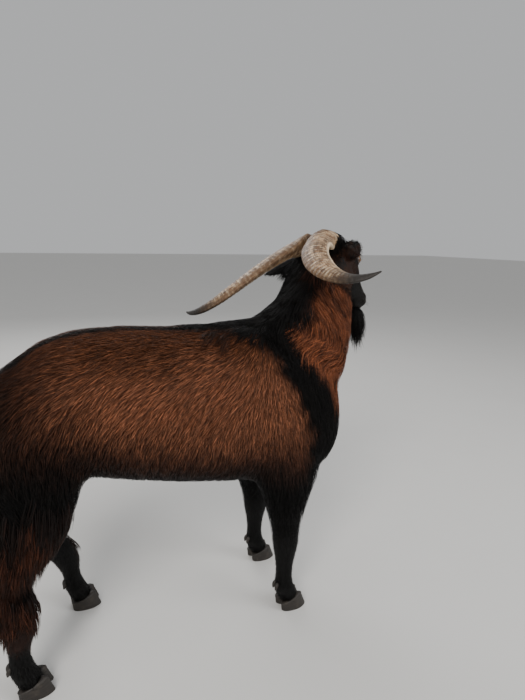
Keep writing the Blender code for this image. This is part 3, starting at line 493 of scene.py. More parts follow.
def refineHead(mesh):
    # twice the points over the face, and twice again round the eyes, nostrils and lips
    bm = bmesh.new()
    bm.from_mesh(mesh)
    inverse = toArray(headPlace.inverted())

    def localOf(vert):
        return inverse[:3, :3] @ np.array(vert.co) + inverse[:3, 3]

    def isFace(p):
        return p[0] > 0.045 and abs(p[1]) < 0.11 and -0.16 < p[2] < 0.06

    def isFine(p):
        eye = min(np.linalg.norm(p - eyeCentre(side)) for side in (1, -1)) < 0.040
        return eye or (p[0] > 0.262 and p[2] < -0.035) or (p[0] > 0.200 and -0.098 < p[2] < -0.070)

    for test in (isFace, isFine):
        inside = set()
        for vert in bm.verts:
            if vert.co.x > 0.90 and test(localOf(vert)):
                inside.add(vert)
        edges = [e for e in bm.edges if e.verts[0] in inside and e.verts[1] in inside]
        bmesh.ops.subdivide_edges(bm, edges=edges, cuts=1, use_grid_fill=True, smooth=0.6)
        bmesh.ops.triangulate(bm, faces=[f for f in bm.faces if len(f.verts) > 4])
    bm.to_mesh(mesh)
    bm.free()


def earPlace(label):
    swing, drop = earSizes["pose"][label]
    turn = Matrix.Rotation(math.radians(swing), 4, "Z") @ Matrix.Rotation(math.radians(drop), 4, "X")
    face = Matrix.Rotation(math.radians(earSizes["face"]), 4, "Y")
    place = Matrix.Translation(earSizes["root"]) @ turn @ face
    if label == "right":
        place = Matrix.Diagonal((1, -1, 1, 1)) @ place
    return headPlace @ place


def earForm(label):
    rows, columns = 22, 14
    rings = []
    stations = np.array(earSizes["outline"])
    for k in range(rows + 1):
        t = k / rows
        half = earSizes["halfWidth"] * float(np.interp(t, stations[:, 0], stations[:, 1]))
        curl = math.radians(150 - 75 * t)
        a = curl * (np.arange(columns + 1) / columns - 0.5)
        radius = half / math.sin(curl / 2)
        z = -(1 - np.cos(a)) * radius - 0.030 * t * t - 0.001
        thick = earSizes["thickness"] * (0.30 + 0.70 * np.cos(a / curl * math.pi)) * (1 - 0.5 * t)
        ripple = 0.0007 * np.sin(a * 9) * ease(t, 0.1, 0.4)
        along = np.full_like(a, t * earSizes["length"])
        outer = np.stack([np.sin(a) * radius, along, z + ripple], 1)
        inner = np.stack([np.sin(a) * radius * 0.96, along, z - thick + ripple], 1)
        rings.append(np.concatenate([outer, inner[::-1]]))
    points, tris = ringSkin(rings)
    points = moved(earPlace(label), points)
    a, b, c = (points[tris[:, k]] - points.mean(0) for k in range(3))
    if (a * np.cross(b, c)).sum() < 0:
        tris = tris[:, ::-1]
    return points, tris


def neckLine(points):
    # 0 at the shoulder, 1 at the head, along the neck
    low, high = np.array([0.793, 0.0, 0.735]), np.array([0.917, 0.070, 1.000])
    return ((points - low) @ (high - low)) / ((high - low) @ (high - low))


def earLocal(points, label):
    return moved(earPlace(label).inverted(), points)


def headShare(points):
    # 1 on the head, fading to 0 below the jaw and behind the poll
    local = headPoints(points)
    below = ease(local[:, 2], -0.178, -0.140)
    return ease(local[:, 0], -0.045, 0.020) * below * ease(points[:, 2], 0.70, 0.76)


def seamShare(points):
    # 1 where the short coat of the head meets the long coat of the neck
    share = headShare(points)
    return 4 * share * (1 - share)


def isEar(points):
    masks = []
    for label in ("left", "right"):
        q = earLocal(points, label)
        across = (np.abs(q[:, 0]) < 0.045) & (np.abs(q[:, 2] + 0.012) < 0.05)
        masks.append((q[:, 1] > 0.022) & (q[:, 1] < 0.17) & across)
    return masks


# how far the skin lies under the outer surface of the coat
coatDepths = {"torso": 0.0140, "neck": 0.0120, "head": 0.0035, "shank": 0.0045, "foot": 0.0030,
              "tail": 0.0100}


def coatDepth(points):
    s = coatDepths
    z = points[:, 2]
    depth = np.full(len(points), s["torso"])
    depth += (s["neck"] - depth) * ease(neckLine(points), 0.2, 0.8)
    onHead = headShare(points)
    depth += (s["head"] - depth) * onHead
    depth += (s["shank"] - depth) * ((1 - ease(z, 0.16, 0.34)) * (1 - onHead))
    depth += (s["foot"] - depth) * (1 - ease(z, 0.05, 0.10))
    depth += (s["tail"] - depth) * (ease(-points[:, 0], 0.085, 0.13) * (z > 0.5))
    depth *= 1 - 0.7 * ease(-points[:, 0], 0.175, 0.20) * (z > 0.5)
    return depth


def buildSkin():
    forms = [torsoForm(), neckForm(), tailForm()] + [legForm(name) for name in legSizes["stance"]]
    body = voxelFuse(joinForms("body", forms), bodySizes["bodyVoxel"])
    smoothWhere(body, lambda p: ease(p[:, 2], 0.30, 0.46) * (1 - ease(-p[:, 0], 0.07, 0.10)), 0.5, 40)
    points, tris = readMesh(body.data)
    bpy.data.objects.remove(body)
    skin = voxelFuse(joinForms("skin", [(points, tris)] + headForms()), bodySizes["skinVoxel"])
    smoothWhere(skin, lambda p: np.ones(len(p)), 0.5, 4)
    refineHead(skin.data)
    points, tris = readMesh(skin.data)
    normals = vertexNormals(points, tris)
    depth = spreadOverMesh(coatDepth(points)[:, None], tris, 6)
    points = points - normals * depth
    points = shapeFace(points, tris)
    bpy.data.objects.remove(skin)
    skin = meshPiece("skin", points, tris, place=False)
    for label in ("left", "right"):
        earPoints, earTris = earForm(label)
        ear = meshPiece("ear", earPoints, earTris, place=False)
        mod = skin.modifiers.new("ear", "BOOLEAN")
        mod.operation, mod.solver, mod.object = "UNION", "MANIFOLD", ear
        finishModifiers(skin)
        bpy.data.objects.remove(ear)
    points, tris = readMesh(skin.data)
    bpy.data.objects.remove(skin)
    return points, tris


skinPoints, skinTris = buildSkin()
skinNormals = vertexNormals(skinPoints, skinTris)
print("skin built,", len(skinTris), "triangles, lowest", round(skinPoints[:, 2].min(), 4))


# markings: one function gives the colour of skin and coat at any place; it also paints shade low on the
# flank, at the rump and in streaks down the neck

# the low flank and rump tones are painted shade
coatTones = {
    "chestnut": (0.232, 0.084, 0.040), "back": (0.104, 0.034, 0.0130), "rump": (0.019, 0.0072, 0.0042),
    "lowFlankShade": (0.024, 0.0112, 0.0080), "neckBrown": (0.230, 0.070, 0.029), "skirt": (0.036, 0.0110, 0.0050),
    "black": (0.0030, 0.0026, 0.0025), "bandBlack": (0.0040, 0.0033, 0.0031),
    "face": (0.0105, 0.0080, 0.0066), "cheek": (0.060, 0.024, 0.012),
    "muzzleSkin": (0.024, 0.020, 0.019), "earInside": (0.016, 0.010, 0.008),
}

# the front edge of the chestnut and the back edge of the neck's brown: height, then x
chestnutEdge = [(0.34, 0.755), (0.44, 0.748), (0.52, 0.735), (0.60, 0.712), (0.68, 0.690), (0.77, 0.640),
                (0.80, 0.612), (0.85, 0.550)]
neckEdge = [(0.58, 0.880), (0.60, 0.865), (0.70, 0.800), (0.765, 0.745), (0.80, 0.752), (0.85, 0.762),
            (0.885, 0.785), (0.92, 0.825), (0.95, 0.850), (1.0, 0.880)]
# x along the underside, and the heights where the black and the painted shade above it are measured from
bellyLine = {"x": [0.0, 0.18, 0.30, 0.54, 0.75], "black": [0.49, 0.502, 0.476, 0.425, 0.372],
             "brown": [0.50, 0.502, 0.476, 0.435, 0.40]}

markEdges = {
    # where each marking and each band of painted shade starts and where it is full
    "back": (-0.12, -0.03), "lowFlankShade": (0.02, 0.19), "rump": (-0.01, 0.23), "belly": (0.004, 0.050),
    "stripeWidth": (0.014, 0.034), "stripeHeight": (-0.09, -0.05), "band": (-0.008, 0.022),
    "neck": (-0.010, 0.018), "neckHeight": (0.575, 0.62), "streak": (0.35, 0.9),
    "napeHeight": (-0.105, -0.065), "napeAhead": (-0.150, -0.080), "throat": (0.955, 0.985),
    "thighHeight": (0.52, 0.62), "thighAhead": (0.07, 0.17), "skirtFoot": (0.270, 0.300),
    "skirtTop": (0.405, 0.485), "skirtSide": (0.09, 0.12), "tuftFoot": (0.135, 0.155),
    "tuftTop": (0.235, 0.255), "tuftSide": (0.10, 0.13), "legs": (0.350, 0.392), "hindLegs": (-0.44, -0.30),
    "tail": (0.070, 0.095), "face": (0.35, 0.75), "cheekSide": (0.030, 0.046), "cheekBack": (-0.05, 0.00),
    "cheekFront": (0.085, 0.135), "cheekTop": (-0.062, -0.036), "browSide": (0.03, 0.045),
    "earInside": (0.006, 0.022),
}


def lineAt(values, line):
    return np.interp(values, [p[0] for p in line], [p[1] for p in line])


def bellyAt(x, kind):
    return np.interp(x, bellyLine["x"], bellyLine[kind])


def fadeIn(values, name, base=0.0):
    low, high = markEdges[name]
    return ease(values, base + low, base + high)


def markingsAndShade(points):
    x, y, z = points[:, 0], points[:, 1], points[:, 2]
    side = np.abs(y)
    rough = 0.010 * wobble(points, 0.05, 3) + 0.012 * wobble(points, 0.16, 4)
    local = headPoints(points)
    tone = {name: np.array(value) for name, value in coatTones.items()}

    def mix(base, name, share):
        return base + (tone[name] - base) * share[:, None]

    colour = np.repeat(tone["chestnut"][None], len(points), 0)
    top = torsoAt(x, 1)
    colour = mix(colour, "back", fadeIn(z + rough, "back", top))
    # painted shade: the coat darkens low on the flank, above the belly's black
    colour = mix(colour, "lowFlankShade", 1 - fadeIn(z + rough, "lowFlankShade", bellyAt(x, "brown")))
    # painted shade: the coat darkens toward the rear and low on the hindquarters
    colour = mix(colour, "rump", 0.94 * (1 - fadeIn(x + rough + 0.5 * (z - 0.70), "rump")))
    colour = mix(colour, "black", 1 - fadeIn(z + 0.6 * rough, "belly", bellyAt(x, "black")))
    stripe = (1 - fadeIn(side + 0.5 * rough, "stripeWidth")) * fadeIn(z, "stripeHeight", top)
    colour = mix(colour, "black", stripe)
    colour = mix(colour, "bandBlack", fadeIn(x + rough, "band", lineAt(z, chestnutEdge)))
    onNeck = fadeIn(x + rough * 0.8, "neck", lineAt(z, neckEdge)) * fadeIn(z + rough, "neckHeight")
    # painted shade: dark vertical streaks through the neck's brown stand for the shade in its folds
    streak = fadeIn(wobble(points * [1.0, 1.0, 0.45], 0.022, 9), "streak") * 0.75
    colour = mix(colour, "neckBrown", onNeck * (1 - streak))
    nape = fadeIn(local[:, 2] + rough, "napeHeight") * fadeIn(local[:, 0], "napeAhead")
    colour = mix(colour, "black", nape)
    throat = fadeIn(x - 0.10 * (0.9 - z), "throat") * (z < 0.98)
    colour = mix(colour, "black", 0.35 * throat)
    # thighs dark, brown skirt above the hock and a brown tuft below it
    hind = (x < 0.30) & (z < 0.56)
    thigh = (1 - fadeIn(z + rough, "thighHeight")) * (1 - fadeIn(x + rough, "thighAhead")) * (z < 0.66)
    colour = mix(colour, "black", 0.88 * thigh)
    strands = 0.030 * wobble(points * [1.0, 1.0, 0.25], 0.030, 12)
    skirt = fadeIn(z + rough, "skirtFoot") * (1 - fadeIn(z + rough + strands, "skirtTop")) * hind
    colour = mix(colour, "skirt", skirt * fadeIn(side, "skirtSide"))
    tuft = fadeIn(z + rough, "tuftFoot") * (1 - fadeIn(z + rough, "tuftTop")) * hind * (x < 0.20)
    legs = 1 - fadeIn(z + rough - 0.040 * (x > 0.4), "legs")
    legHeight = np.where(x > 0.4, 1.0, fadeIn(-z, "hindLegs"))
    colour = mix(colour, "black", legs * (1 - skirt) * (1 - 0.85 * tuft) * legHeight)
    colour = mix(colour, "skirt", 0.8 * tuft * fadeIn(side, "tuftSide"))
    colour = mix(colour, "black", fadeIn(-x, "tail") * (z > 0.5))
    onHead = fadeIn(headShare(points) + rough * 6, "face")
    colour = mix(colour, "face", onHead)
    lx, ly, lz = local[:, 0], np.abs(local[:, 1]), local[:, 2]
    cheek = fadeIn(ly + rough, "cheekSide") * fadeIn(lx, "cheekBack") * (1 - fadeIn(lx + rough, "cheekFront"))
    cheek *= 1 - fadeIn(lz + rough, "cheekTop")
    colour = mix(colour, "cheek", onHead * cheek * 0.9)
    brow = np.exp(-((lx - 0.125) / 0.030) ** 2 - ((lz + 0.052) / 0.010) ** 2) * fadeIn(ly, "browSide")
    colour = mix(colour, "cheek", onHead * brow * 0.6)
    for label, mask in zip(("left", "right"), isEar(points)):
        q = earLocal(points, label)
        inner = 1 - fadeIn(np.abs(q[:, 0]) + rough * 0.4, "earInside")
        colour[mask] = mix(mix(colour, "black", 0 * x + 0.85), "earInside", inner * 0.35)[mask]
    return colour


skinColours = markingsAndShade(skinPoints)
skinLocal = headPoints(skinPoints)
bare = ease(skinLocal[:, 0], 0.278, 0.290) * (skinPoints[:, 2] > 0.75)
# the skin under the coat is drawn darker than the coat, and darker still as painted shade where the head's
# short coat meets the neck's long coat
skinColours = skinColours * (0.45 - 0.36 * seamShare(skinPoints)[:, None])
skinColours += (np.array(coatTones["muzzleSkin"]) - skinColours) * bare[:, None]
for eyeSide in (1, -1):
    eyeAt = eyeCentre(eyeSide)
    lid = 1 - ease(np.linalg.norm(skinLocal - eyeAt, axis=1), 0.019, 0.0225)
    skinColours += (np.array(coatTones["muzzleSkin"]) * 0.6 - skinColours) * lid[:, None]


# materials

def addNode(tree, kind, settings=None, links=None):
    node = tree.nodes.new(kind)
    for key, value in (settings or {}).items():
        setattr(node, key, value)
    for key, source in (links or {}).items():
        if hasattr(source, "is_linked"):
            tree.links.new(source, node.inputs[key])
        else:
            node.inputs[key].default_value = source
    return node


def mathNode(tree, operation, *sources):
    return addNode(tree, "ShaderNodeMath", {"operation": operation}, dict(enumerate(sources))).outputs[0]


def vectorNode(tree, operation, first, second, key=1):
    return addNode(tree, "ShaderNodeVectorMath", {"operation": operation}, {0: first, key: second}).outputs[0]


def nodeMaterial(name, settings):
    mat = bpy.data.materials.new(name)
    mat.use_nodes = True
    tree = mat.node_tree
    shader = tree.nodes["Principled BSDF"]
    for key, value in settings.items():
        shader.inputs[key].default_value = value
    return mat, tree, shader


def noiseOn(tree, vector, scale, detail, rough, stretch):
    spread = addNode(tree, "ShaderNodeMapping", None, {"Vector": vector, "Scale": stretch}).outputs["Vector"]
    settings = {"Vector": spread, "Scale": scale, "Detail": detail, "Roughness": rough}
    return addNode(tree, "ShaderNodeTexNoise", None, settings).outputs["Fac"]


def noiseNode(tree, scale, detail=3.0, rough=0.55, stretch=(1, 1, 1)):
    coords = addNode(tree, "ShaderNodeTexCoord").outputs["Object"]
    return noiseOn(tree, coords, scale, detail, rough, stretch)


def attributeOf(tree, name, output="Fac"):
    return addNode(tree, "ShaderNodeAttribute", {"attribute_name": name}).outputs[output]


def rangeNode(tree, source, low, high):
    ends = {"From Min": 0.25, "From Max": 0.75, "To Min": low, "To Max": high}
    return addNode(tree, "ShaderNodeMapRange", None, {"Value": source, **ends}).outputs["Result"]


def softStep(tree, value, low, high):
    ends = {"Value": value, "From Min": low, "From Max": high}
    return addNode(tree, "ShaderNodeMapRange", {"interpolation_type": "SMOOTHSTEP"}, ends).outputs["Result"]


def mixColours(tree, share, first, second):
    first, second = ((*value, 1.0) if isinstance(value, tuple) else value for value in (first, second))
    node = addNode(tree, "ShaderNodeMix", {"data_type": "RGBA"}, {"Factor": share, 6: first, 7: second})
    return node.outputs[2]


def bumpInto(tree, shader, height, strength, distance):
    settings = {"Height": height, "Strength": strength, "Distance": distance}
    bump = addNode(tree, "ShaderNodeBump", None, settings)
    tree.links.new(bump.outputs["Normal"], shader.inputs["Normal"])


furFinish = {"roughness": (0.42, 0.66), "shineNoise": 140.0, "specular": 0.14, "toneNoise": 105.0,
             "tones": (0.80, 1.22)}
skinFinish = {"roughness": (0.55, 0.80), "specular": 0.22, "toneNoise": 90.0, "tones": (0.75, 1.25),
              "hairNoise": 420.0, "hairStretch": (0.35, 1.0, 1.0), "bump": (0.6, 0.0012)}


def furMaterial():
    s = furFinish
    mat, tree, shader = nodeMaterial("coat hair", {"Specular IOR Level": s["specular"]})
    tone = rangeNode(tree, noiseNode(tree, s["toneNoise"]), *s["tones"])
    paint = vectorNode(tree, "SCALE", attributeOf(tree, "furColour", "Color"), tone, "Scale")
    tree.links.new(paint, shader.inputs["Base Color"])
    shine = noiseNode(tree, s["shineNoise"])
    tree.links.new(rangeNode(tree, shine, *s["roughness"]), shader.inputs["Roughness"])
    return mat


def skinMaterial():
    s = skinFinish
    mat, tree, shader = nodeMaterial("short coat over skin", {"Specular IOR Level": s["specular"]})
    blotch = noiseNode(tree, s["toneNoise"], 4.0)
    tone = rangeNode(tree, blotch, *s["tones"])
    paint = vectorNode(tree, "SCALE", attributeOf(tree, "furColour", "Color"), tone, "Scale")
    tree.links.new(paint, shader.inputs["Base Color"])
    tree.links.new(rangeNode(tree, blotch, *s["roughness"]), shader.inputs["Roughness"])
    bumpInto(tree, shader, noiseNode(tree, s["hairNoise"], 3.0, 0.6, s["hairStretch"]), *s["bump"])
    return mat


furMat = furMaterial()
skinMat = skinMaterial()


# the lie, length and density of the coat, as fields over the skin

bodyLie = {
    # angle of the hair by height down the side: 0 lies straight back, 90 straight down
    "share": [0.0, 0.12, 0.30, 0.50, 0.68, 0.85, 1.0], "angle": [2, 8, 28, 55, 78, 86, 88],
    "shoulderAngle": 100, "shoulderFrom": 0.50, "shoulderTo": 0.72, "rumpExtra": 30,
}


def coatLie(points, normals):
    x, y, z = points[:, 0], points[:, 1], points[:, 2]
    s = bodyLie
    top, bottom = torsoAt(x, 1), torsoAt(x, 2)
    angle = np.interp((top - z) / (top - bottom), s["share"], s["angle"])
    angle = angle + s["rumpExtra"] * (1 - ease(x, -0.02, 0.12)) * ease(top - z, 0.02, 0.10)
    front = ease(x, s["shoulderFrom"], s["shoulderTo"])
    angle = angle + (s["shoulderAngle"] - angle) * front * ease(top - z, 0.00, 0.05)
    angle = angle + 7.0 * wobble(points, 0.09, 21) + 5.0 * wobble(points, 0.035, 22)
    a = np.radians(angle)
    lie = np.stack([-np.cos(a), 0.10 * np.sign(y), -np.sin(a)], 1)
    low = 1 - ease(z, 0.36, 0.50)
    lie += (np.array([0.0, 0.0, -1.0]) - lie) * low[:, None]
    neck = ease(neckLine(points) + 0.25 * (z > 0.9), 0.05, 0.35) * (x > 0.70) * ease(x, 0.74, 0.80)
    wave = 0.20 * wobble(points, 0.06, 23)
    neckWay = np.stack([0.42 + wave, 0.0 * x, -0.88 + 0 * x], 1)
    lie += (neckWay - lie) * neck[:, None]
    chest = ease(x, 0.84, 0.90) * (z < 0.66)
    lie += (np.array([0.0, 0.0, -1.0]) - lie) * chest[:, None]
    tail = ease(-x, 0.075, 0.10) * (z > 0.5)
    lie += (np.stack([-1.0 + 0 * x, 0 * x, -1.6 * ease(-x, 0.10, 0.19)], 1) - lie) * tail[:, None]
    local = headPoints(points)
    onHead = headShare(points)
    side = np.abs(local[:, 1])
    outward, down = 0.5 * np.sign(local[:, 1]) * ease(side, 0.01, 0.05), -0.55 * ease(side, 0.02, 0.06)
    wayLocal = np.stack([-1.0 + 0 * x, outward, down], 1)
    lie += (wayLocal @ headTurn.T - lie) * onHead[:, None]
    for label, mask in zip(("left", "right"), isEar(points)):
        along = toArray(earPlace(label))[:3, :3] @ np.array([0, 1.0, 0])
        lie[mask] = along
    lie = unit(lie)
    return unit(lie - normals * rowDot(lie, normals))


coatLengths = {
    "torso": 0.042, "belly": 0.062, "neck": 0.056, "band": 0.075, "shank": 0.019, "foot": 0.025,
    "face": 0.0085, "muzzle": 0.0042, "poll": 0.022, "ear": 0.012, "tail": 0.060,
}


def coatLength(points):
    x, z = points[:, 0], points[:, 2]
    s = coatLengths
    local = headPoints(points)
    length = np.full(len(points), s["torso"])
    belly = bellyAt(x, "black")
    length += (s["belly"] - length) * (1 - ease(z, belly, belly + 0.06))
    length += (s["band"] - length) * ease(x, 0.68, 0.76) * ease(z, 0.40, 0.55)
    length += (s["neck"] - length) * ease(neckLine(points), 0.1, 0.4)
    length += (s["shank"] - length) * (1 - ease(z, 0.22, 0.36))
    length += (s["foot"] - length) * (1 - ease(z, 0.06, 0.11))
    length += (s["tail"] - length) * ease(-x, 0.09, 0.12) * (z > 0.5)
    behind = np.maximum(ease(local[:, 0], -0.03, 0.06), ease(local[:, 2], -0.060, -0.030))
    onHead = headShare(points) * (0.30 + 0.70 * ease(local[:, 2], -0.150, -0.092) * behind)
    length += (s["poll"] - length) * onHead
    length += (s["face"] - length) * ease(local[:, 0], 0.01, 0.07) * onHead
    length += (s["muzzle"] - length) * ease(local[:, 0], 0.15, 0.24) * onHead
    for mask in isEar(points):
        length[mask] = s["ear"]
    return length


def bareness(points):
    # where no tuft grows: muzzle tip, lids, nostrils, the line of the mouth and under the feet
    local = headPoints(points)
    gone = (local[:, 0] > 0.284) & (points[:, 2] > 0.75)
    for side in (1, -1):
        _, along, up = eyeFrame(side)
        rel = local - eyeCentre(side)
        gone |= (lidShare(rel @ along, rel @ up) < 1.45) & (np.linalg.norm(rel, axis=1) < 0.030)
        gone |= distanceToPath(local, np.array(headSizes["nostril"]) * [1, side, 1]) < 0.008
    gone |= distanceToPath(local, mouthPath()) < 0.0025
    gone |= points[:, 2] < 0.033
    return gone


skinLies = coatLie(skinPoints, skinNormals)
skinLies = spreadOverMesh(skinLies, skinTris, 5)
skinTree = BVHTree.FromPolygons(skinPoints.tolist(), skinTris.tolist())
print("lie of the coat set")


def nearestOnSkin(points):
    spots = np.empty_like(points)
    normals = np.empty_like(points)
    for i, p in enumerate(points):
        spot, normal, _, _ = skinTree.find_nearest(p)
        spots[i] = spot
        normals[i] = normal
    return spots, normals


def scatterRoots(count, weightOf, seed):
    # roots spread evenly over the skin by area times a wanted density
    rng = np.random.default_rng(seed)
    a, b, c = (skinPoints[skinTris[:, k]] for k in range(3))
    area = np.linalg.norm(np.cross(b - a, c - a), axis=1) / 2
    weight = area * weightOf((a + b + c) / 3)
    total = np.cumsum(weight)
    picks = (np.arange(count) + rng.uniform(0, 1, count)) / count * total[-1]
    face = np.minimum(np.searchsorted(total, picks), len(skinTris) - 1)
    u, v = rng.uniform(0, 1, (2, count))
    flip = u + v > 1
    u[flip], v[flip] = 1 - u[flip], 1 - v[flip]
    w = 1 - u - v
    shares = np.stack([w, u, v], 1)
    corners = skinTris[face]
    roots = (skinPoints[corners] * shares[:, :, None]).sum(1)
    normals = unit((skinNormals[corners] * shares[:, :, None]).sum(1))
    lies = (skinLies[corners] * shares[:, :, None]).sum(1)
    lies = unit(lies - normals * rowDot(lies, normals))
    return roots, normals, lies


def unwrapOf(points):
    # a place on the skin's own unwrap: round the body or limb, and along it
    x, y, z = points[:, 0], points[:, 1], points[:, 2]
    local = headPoints(points)
    head = (local[:, 0] > -0.02) & (z > 0.80)
    roundShare = np.arctan2(y, z - 0.60) / (2 * math.pi)
    along = x + 0.25 * np.abs(z - 0.6) * ((x > 0.80) | (x < 0.0))
    low = z < 0.40
    for name, (footX, footY, _, lean) in legSizes["stance"].items():
        isFront = name.startswith("front")
        mine = low & (np.sign(y) == np.sign(footY)) & ((x > 0.45) == isFront)
        angle = np.arctan2(y[mine] - footY, x[mine] - footX - 0.01 - lean * 0.6)
        roundShare[mine] = angle / (2 * math.pi) + (2.0 if footY > 0 else 0.5)
        along[mine] = z[mine] * 2.0 + (3.0 if isFront else 1.6)
    roundShare[head] = np.arctan2(local[head, 1], local[head, 2] + 0.07) / (2 * math.pi)
    along[head] = 1.5 + local[head, 0] * 3.0
    return np.stack([along, roundShare], 1)


def packUnwrap(places):
    low, high = places.min(0), places.max(0)
    return 0.01 + 0.975 * (places - low) / np.maximum(high - low, 1e-6)


tuftShape = {
    "root": -0.0025, "uvPatch": 0.003, "widthAt": [0, 0.3, 0.7, 1.0], "width": [0.85, 1.0, 0.72, 0.2],
    # share of dark and of pale tufts, with their tones, and the tint of a pale tip
    "darkShare": 0.24, "darkTone": 0.45, "paleShare": 0.18, "paleTone": 1.75, "paleTint": (1.30, 1.0, 0.80),
}


def growTufts(name, roots, normals, lies, settings, seed):
    rng = np.random.default_rng(seed)
    count, rows = len(roots), settings["rows"]
    length = np.broadcast_to(settings["length"], (count,)) * rng.uniform(0.72, 1.18, count)
    half = np.broadcast_to(settings["half"], (count,)) * rng.uniform(0.75, 1.25, count)
    rise = np.broadcast_to(settings["rise"], (count,)) * rng.uniform(0.55, 1.15, count)
    lies = lies + np.cross(normals, lies) * rng.normal(0, settings["spread"], (count, 1))
    lies = unit(lies)
    path = [roots + normals * tuftShape["root"]]
    ups = [normals]
    place, up = roots.copy(), normals
    bend = rng.normal(0, settings.get("curl", 0.0), (count, 1))
    for k in range(1, rows + 1):
        t = k / rows
        place = place + lies * (length / rows)[:, None]
        spots, found = nearestOnSkin(place)
        up = unit(up * 0.3 + found * 0.7)
        height = rowDot(place - spots, found)[:, 0]
        wanted = rise * math.sin(min(1.0, t * 1.15) * math.pi * 0.62) + 0.0006
        hug = settings["hug"]
        lifted = np.where(height < wanted, wanted, height * (1 - hug) + wanted * hug)
        place = place + found * (lifted - height)[:, None]
        path.append(place.copy())
        ups.append(up)
        lies = lies + np.array([0, 0, -settings["droop"] / rows]) + np.cross(up, lies) * bend
        lies = unit(lies - up * rowDot(lies, up) * hug)
    path = np.stack(path, 1)
    ups = np.stack(ups, 1)
    if settings["clump"] > 0:
        seeds = rng.choice(count, max(2, int(count * settings["clumpShare"])), replace=False)
        tree = kdtree.KDTree(len(seeds))
        for i, s in enumerate(seeds):
            tree.insert(roots[s], i)
        tree.balance()
        mine = seeds[[tree.find(r)[1] for r in roots]]
        t = np.linspace(0, 1, rows + 1)[None, :, None]
        path = path + (path[mine] - path) * settings["clump"] * t ** 1.3
    return tuftMesh(name, path, ups, half, settings, rng, roots)


def tuftMesh(name, path, ups, half, settings, rng, roots):
    count, rows = path.shape[0], path.shape[1] - 1
    s = tuftShape
    profile = np.interp(np.arange(rows) / rows, s["widthAt"], s["width"])
    ahead = np.gradient(path, axis=1)
    side = unit(np.cross(ahead, ups))
    up = unit(np.cross(side, ahead))
    wide = side[:, :rows] * (half[:, None] * profile)[:, :, None]
    high = up[:, :rows] * (half[:, None] * profile * settings["thick"])[:, :, None]
    body = path[:, :rows]
    verts = np.stack([body + wide, body + high, body - wide], 2).reshape(count, rows * 3, 3)
    verts = np.concatenate([verts, path[:, -1:]], 1)
    size = rows * 3 + 1
    faces = []
    for r in range(rows - 1):
        for i in range(3):
            a, b = 3 * r + i, 3 * r + (i + 1) % 3
            faces += [(a, b + 3, b), (a, a + 3, b + 3)]
    for i in range(3):
        faces.append((3 * (rows - 1) + i, size - 1, 3 * (rows - 1) + (i + 1) % 3))
    faces.append((0, 1, 2))
    faces = (np.array(faces)[None] + (np.arange(count) * size)[:, None, None]).reshape(-1, 3)
    # colour runs from a dark root to a lighter tip, with odd hairs darker or paler
    base = settings["colourOf"](roots)
    tone = rng.normal(1.0, settings["toneSpread"], count).clip(0.45, 1.7)
    kind = rng.uniform(0, 1, count)
    tone = np.where(kind > 1 - s["paleShare"], tone * s["paleTone"], tone)
    tone = np.where(kind < s["darkShare"], tone * s["darkTone"], tone)
    along = np.concatenate([np.repeat(np.arange(rows) / rows, 3), [1.0]])
    shade = settings["rootTone"] + (settings["tipTone"] - settings["rootTone"]) * along ** 1.1
    colours = base[:, None, :] * tone[:, None, None] * shade[None, :, None]
    pale = settings["paleTip"] * rng.uniform(0, 1, count)[:, None, None] * (along ** 3)[None, :, None]
    colours = colours + pale * (base.mean(1)[:, None, None] * np.array(s["paleTint"]) - colours * 0.2)
    places = packUnwrap(unwrapOf(roots))
    patch = s["uvPatch"]
    across = np.concatenate([np.tile([-0.5, 0.0, 0.5], rows), [0.0]]) * patch
    uvs = places[:, None, :] + np.stack([along * patch, across], 1)[None]
    colours = colours.reshape(-1, 3).clip(0.001, 1)
    piece = meshPiece(name, verts.reshape(-1, 3), faces, colours, uvs.reshape(-1, 2))
    piece.data.materials.append(furMat)
    return piece


shortCoat = {
    "body": 62000, "bodyFine": 66000, "limbs": 26000, "head": 32000, "perPiece": 19500,
    "half": 0.00078, "thick": 0.5, "droop": 0.10, "hug": 0.85, "clump": 0.30, "clumpShare": 0.11,
    "spread": 0.16, "rootTone": 0.42, "tipTone": 1.18, "toneSpread": 0.20, "paleTip": 0.55,
    # share of the coat's depth that a tuft rises, and what is added low on the foot and at the jaw
    "riseShare": 0.72, "footRise": 0.0090, "seamRise": 0.0055,
}
coatPieces = []


def bodyDensity(p):
    ears = isEar(p)
    keep = (p[:, 2] > 0.30) & (headShare(p) < 0.9) & ~ears[0] & ~ears[1]
    inside = (p[:, 2] < 0.46) & (np.abs(p[:, 1]) < 0.085)
    return keep * np.where(inside, 0.45, 1.0)


def limbDensity(p):
    keep = (p[:, 2] <= 0.30) & (p[:, 2] > 0.030)
    return keep * (1.0 + 0.6 * (1 - ease(p[:, 2], 0.08, 0.16)))


def headDensity(p):
    local = headPoints(p)
    ears = isEar(p)
    keep = ((headShare(p) >= 0.9) | ears[0] | ears[1]) & ~bareness(p)
    return keep * (1.0 + 1.2 * ease(local[:, 0], 0.02, 0.10) + 1.0 * ease(local[:, 0], 0.15, 0.24))


def shortSettings(roots, rows, extra):
    s = shortCoat
    length = coatLength(roots)
    low = 1 - ease(roots[:, 2], 0.042, 0.070)
    rise = coatDepth(roots) * s["riseShare"] + s["footRise"] * low + s["seamRise"] * seamShare(roots)
    settings = dict(s, rows=rows, rise=rise, colourOf=markingsAndShade)
    settings["half"] = np.minimum(s["half"], 0.00028 + length * 0.022) * extra.get("finer", 1.0)
    settings["length"] = length * extra.get("shorter", 1.0)
    settings.update(extra)
    return settings


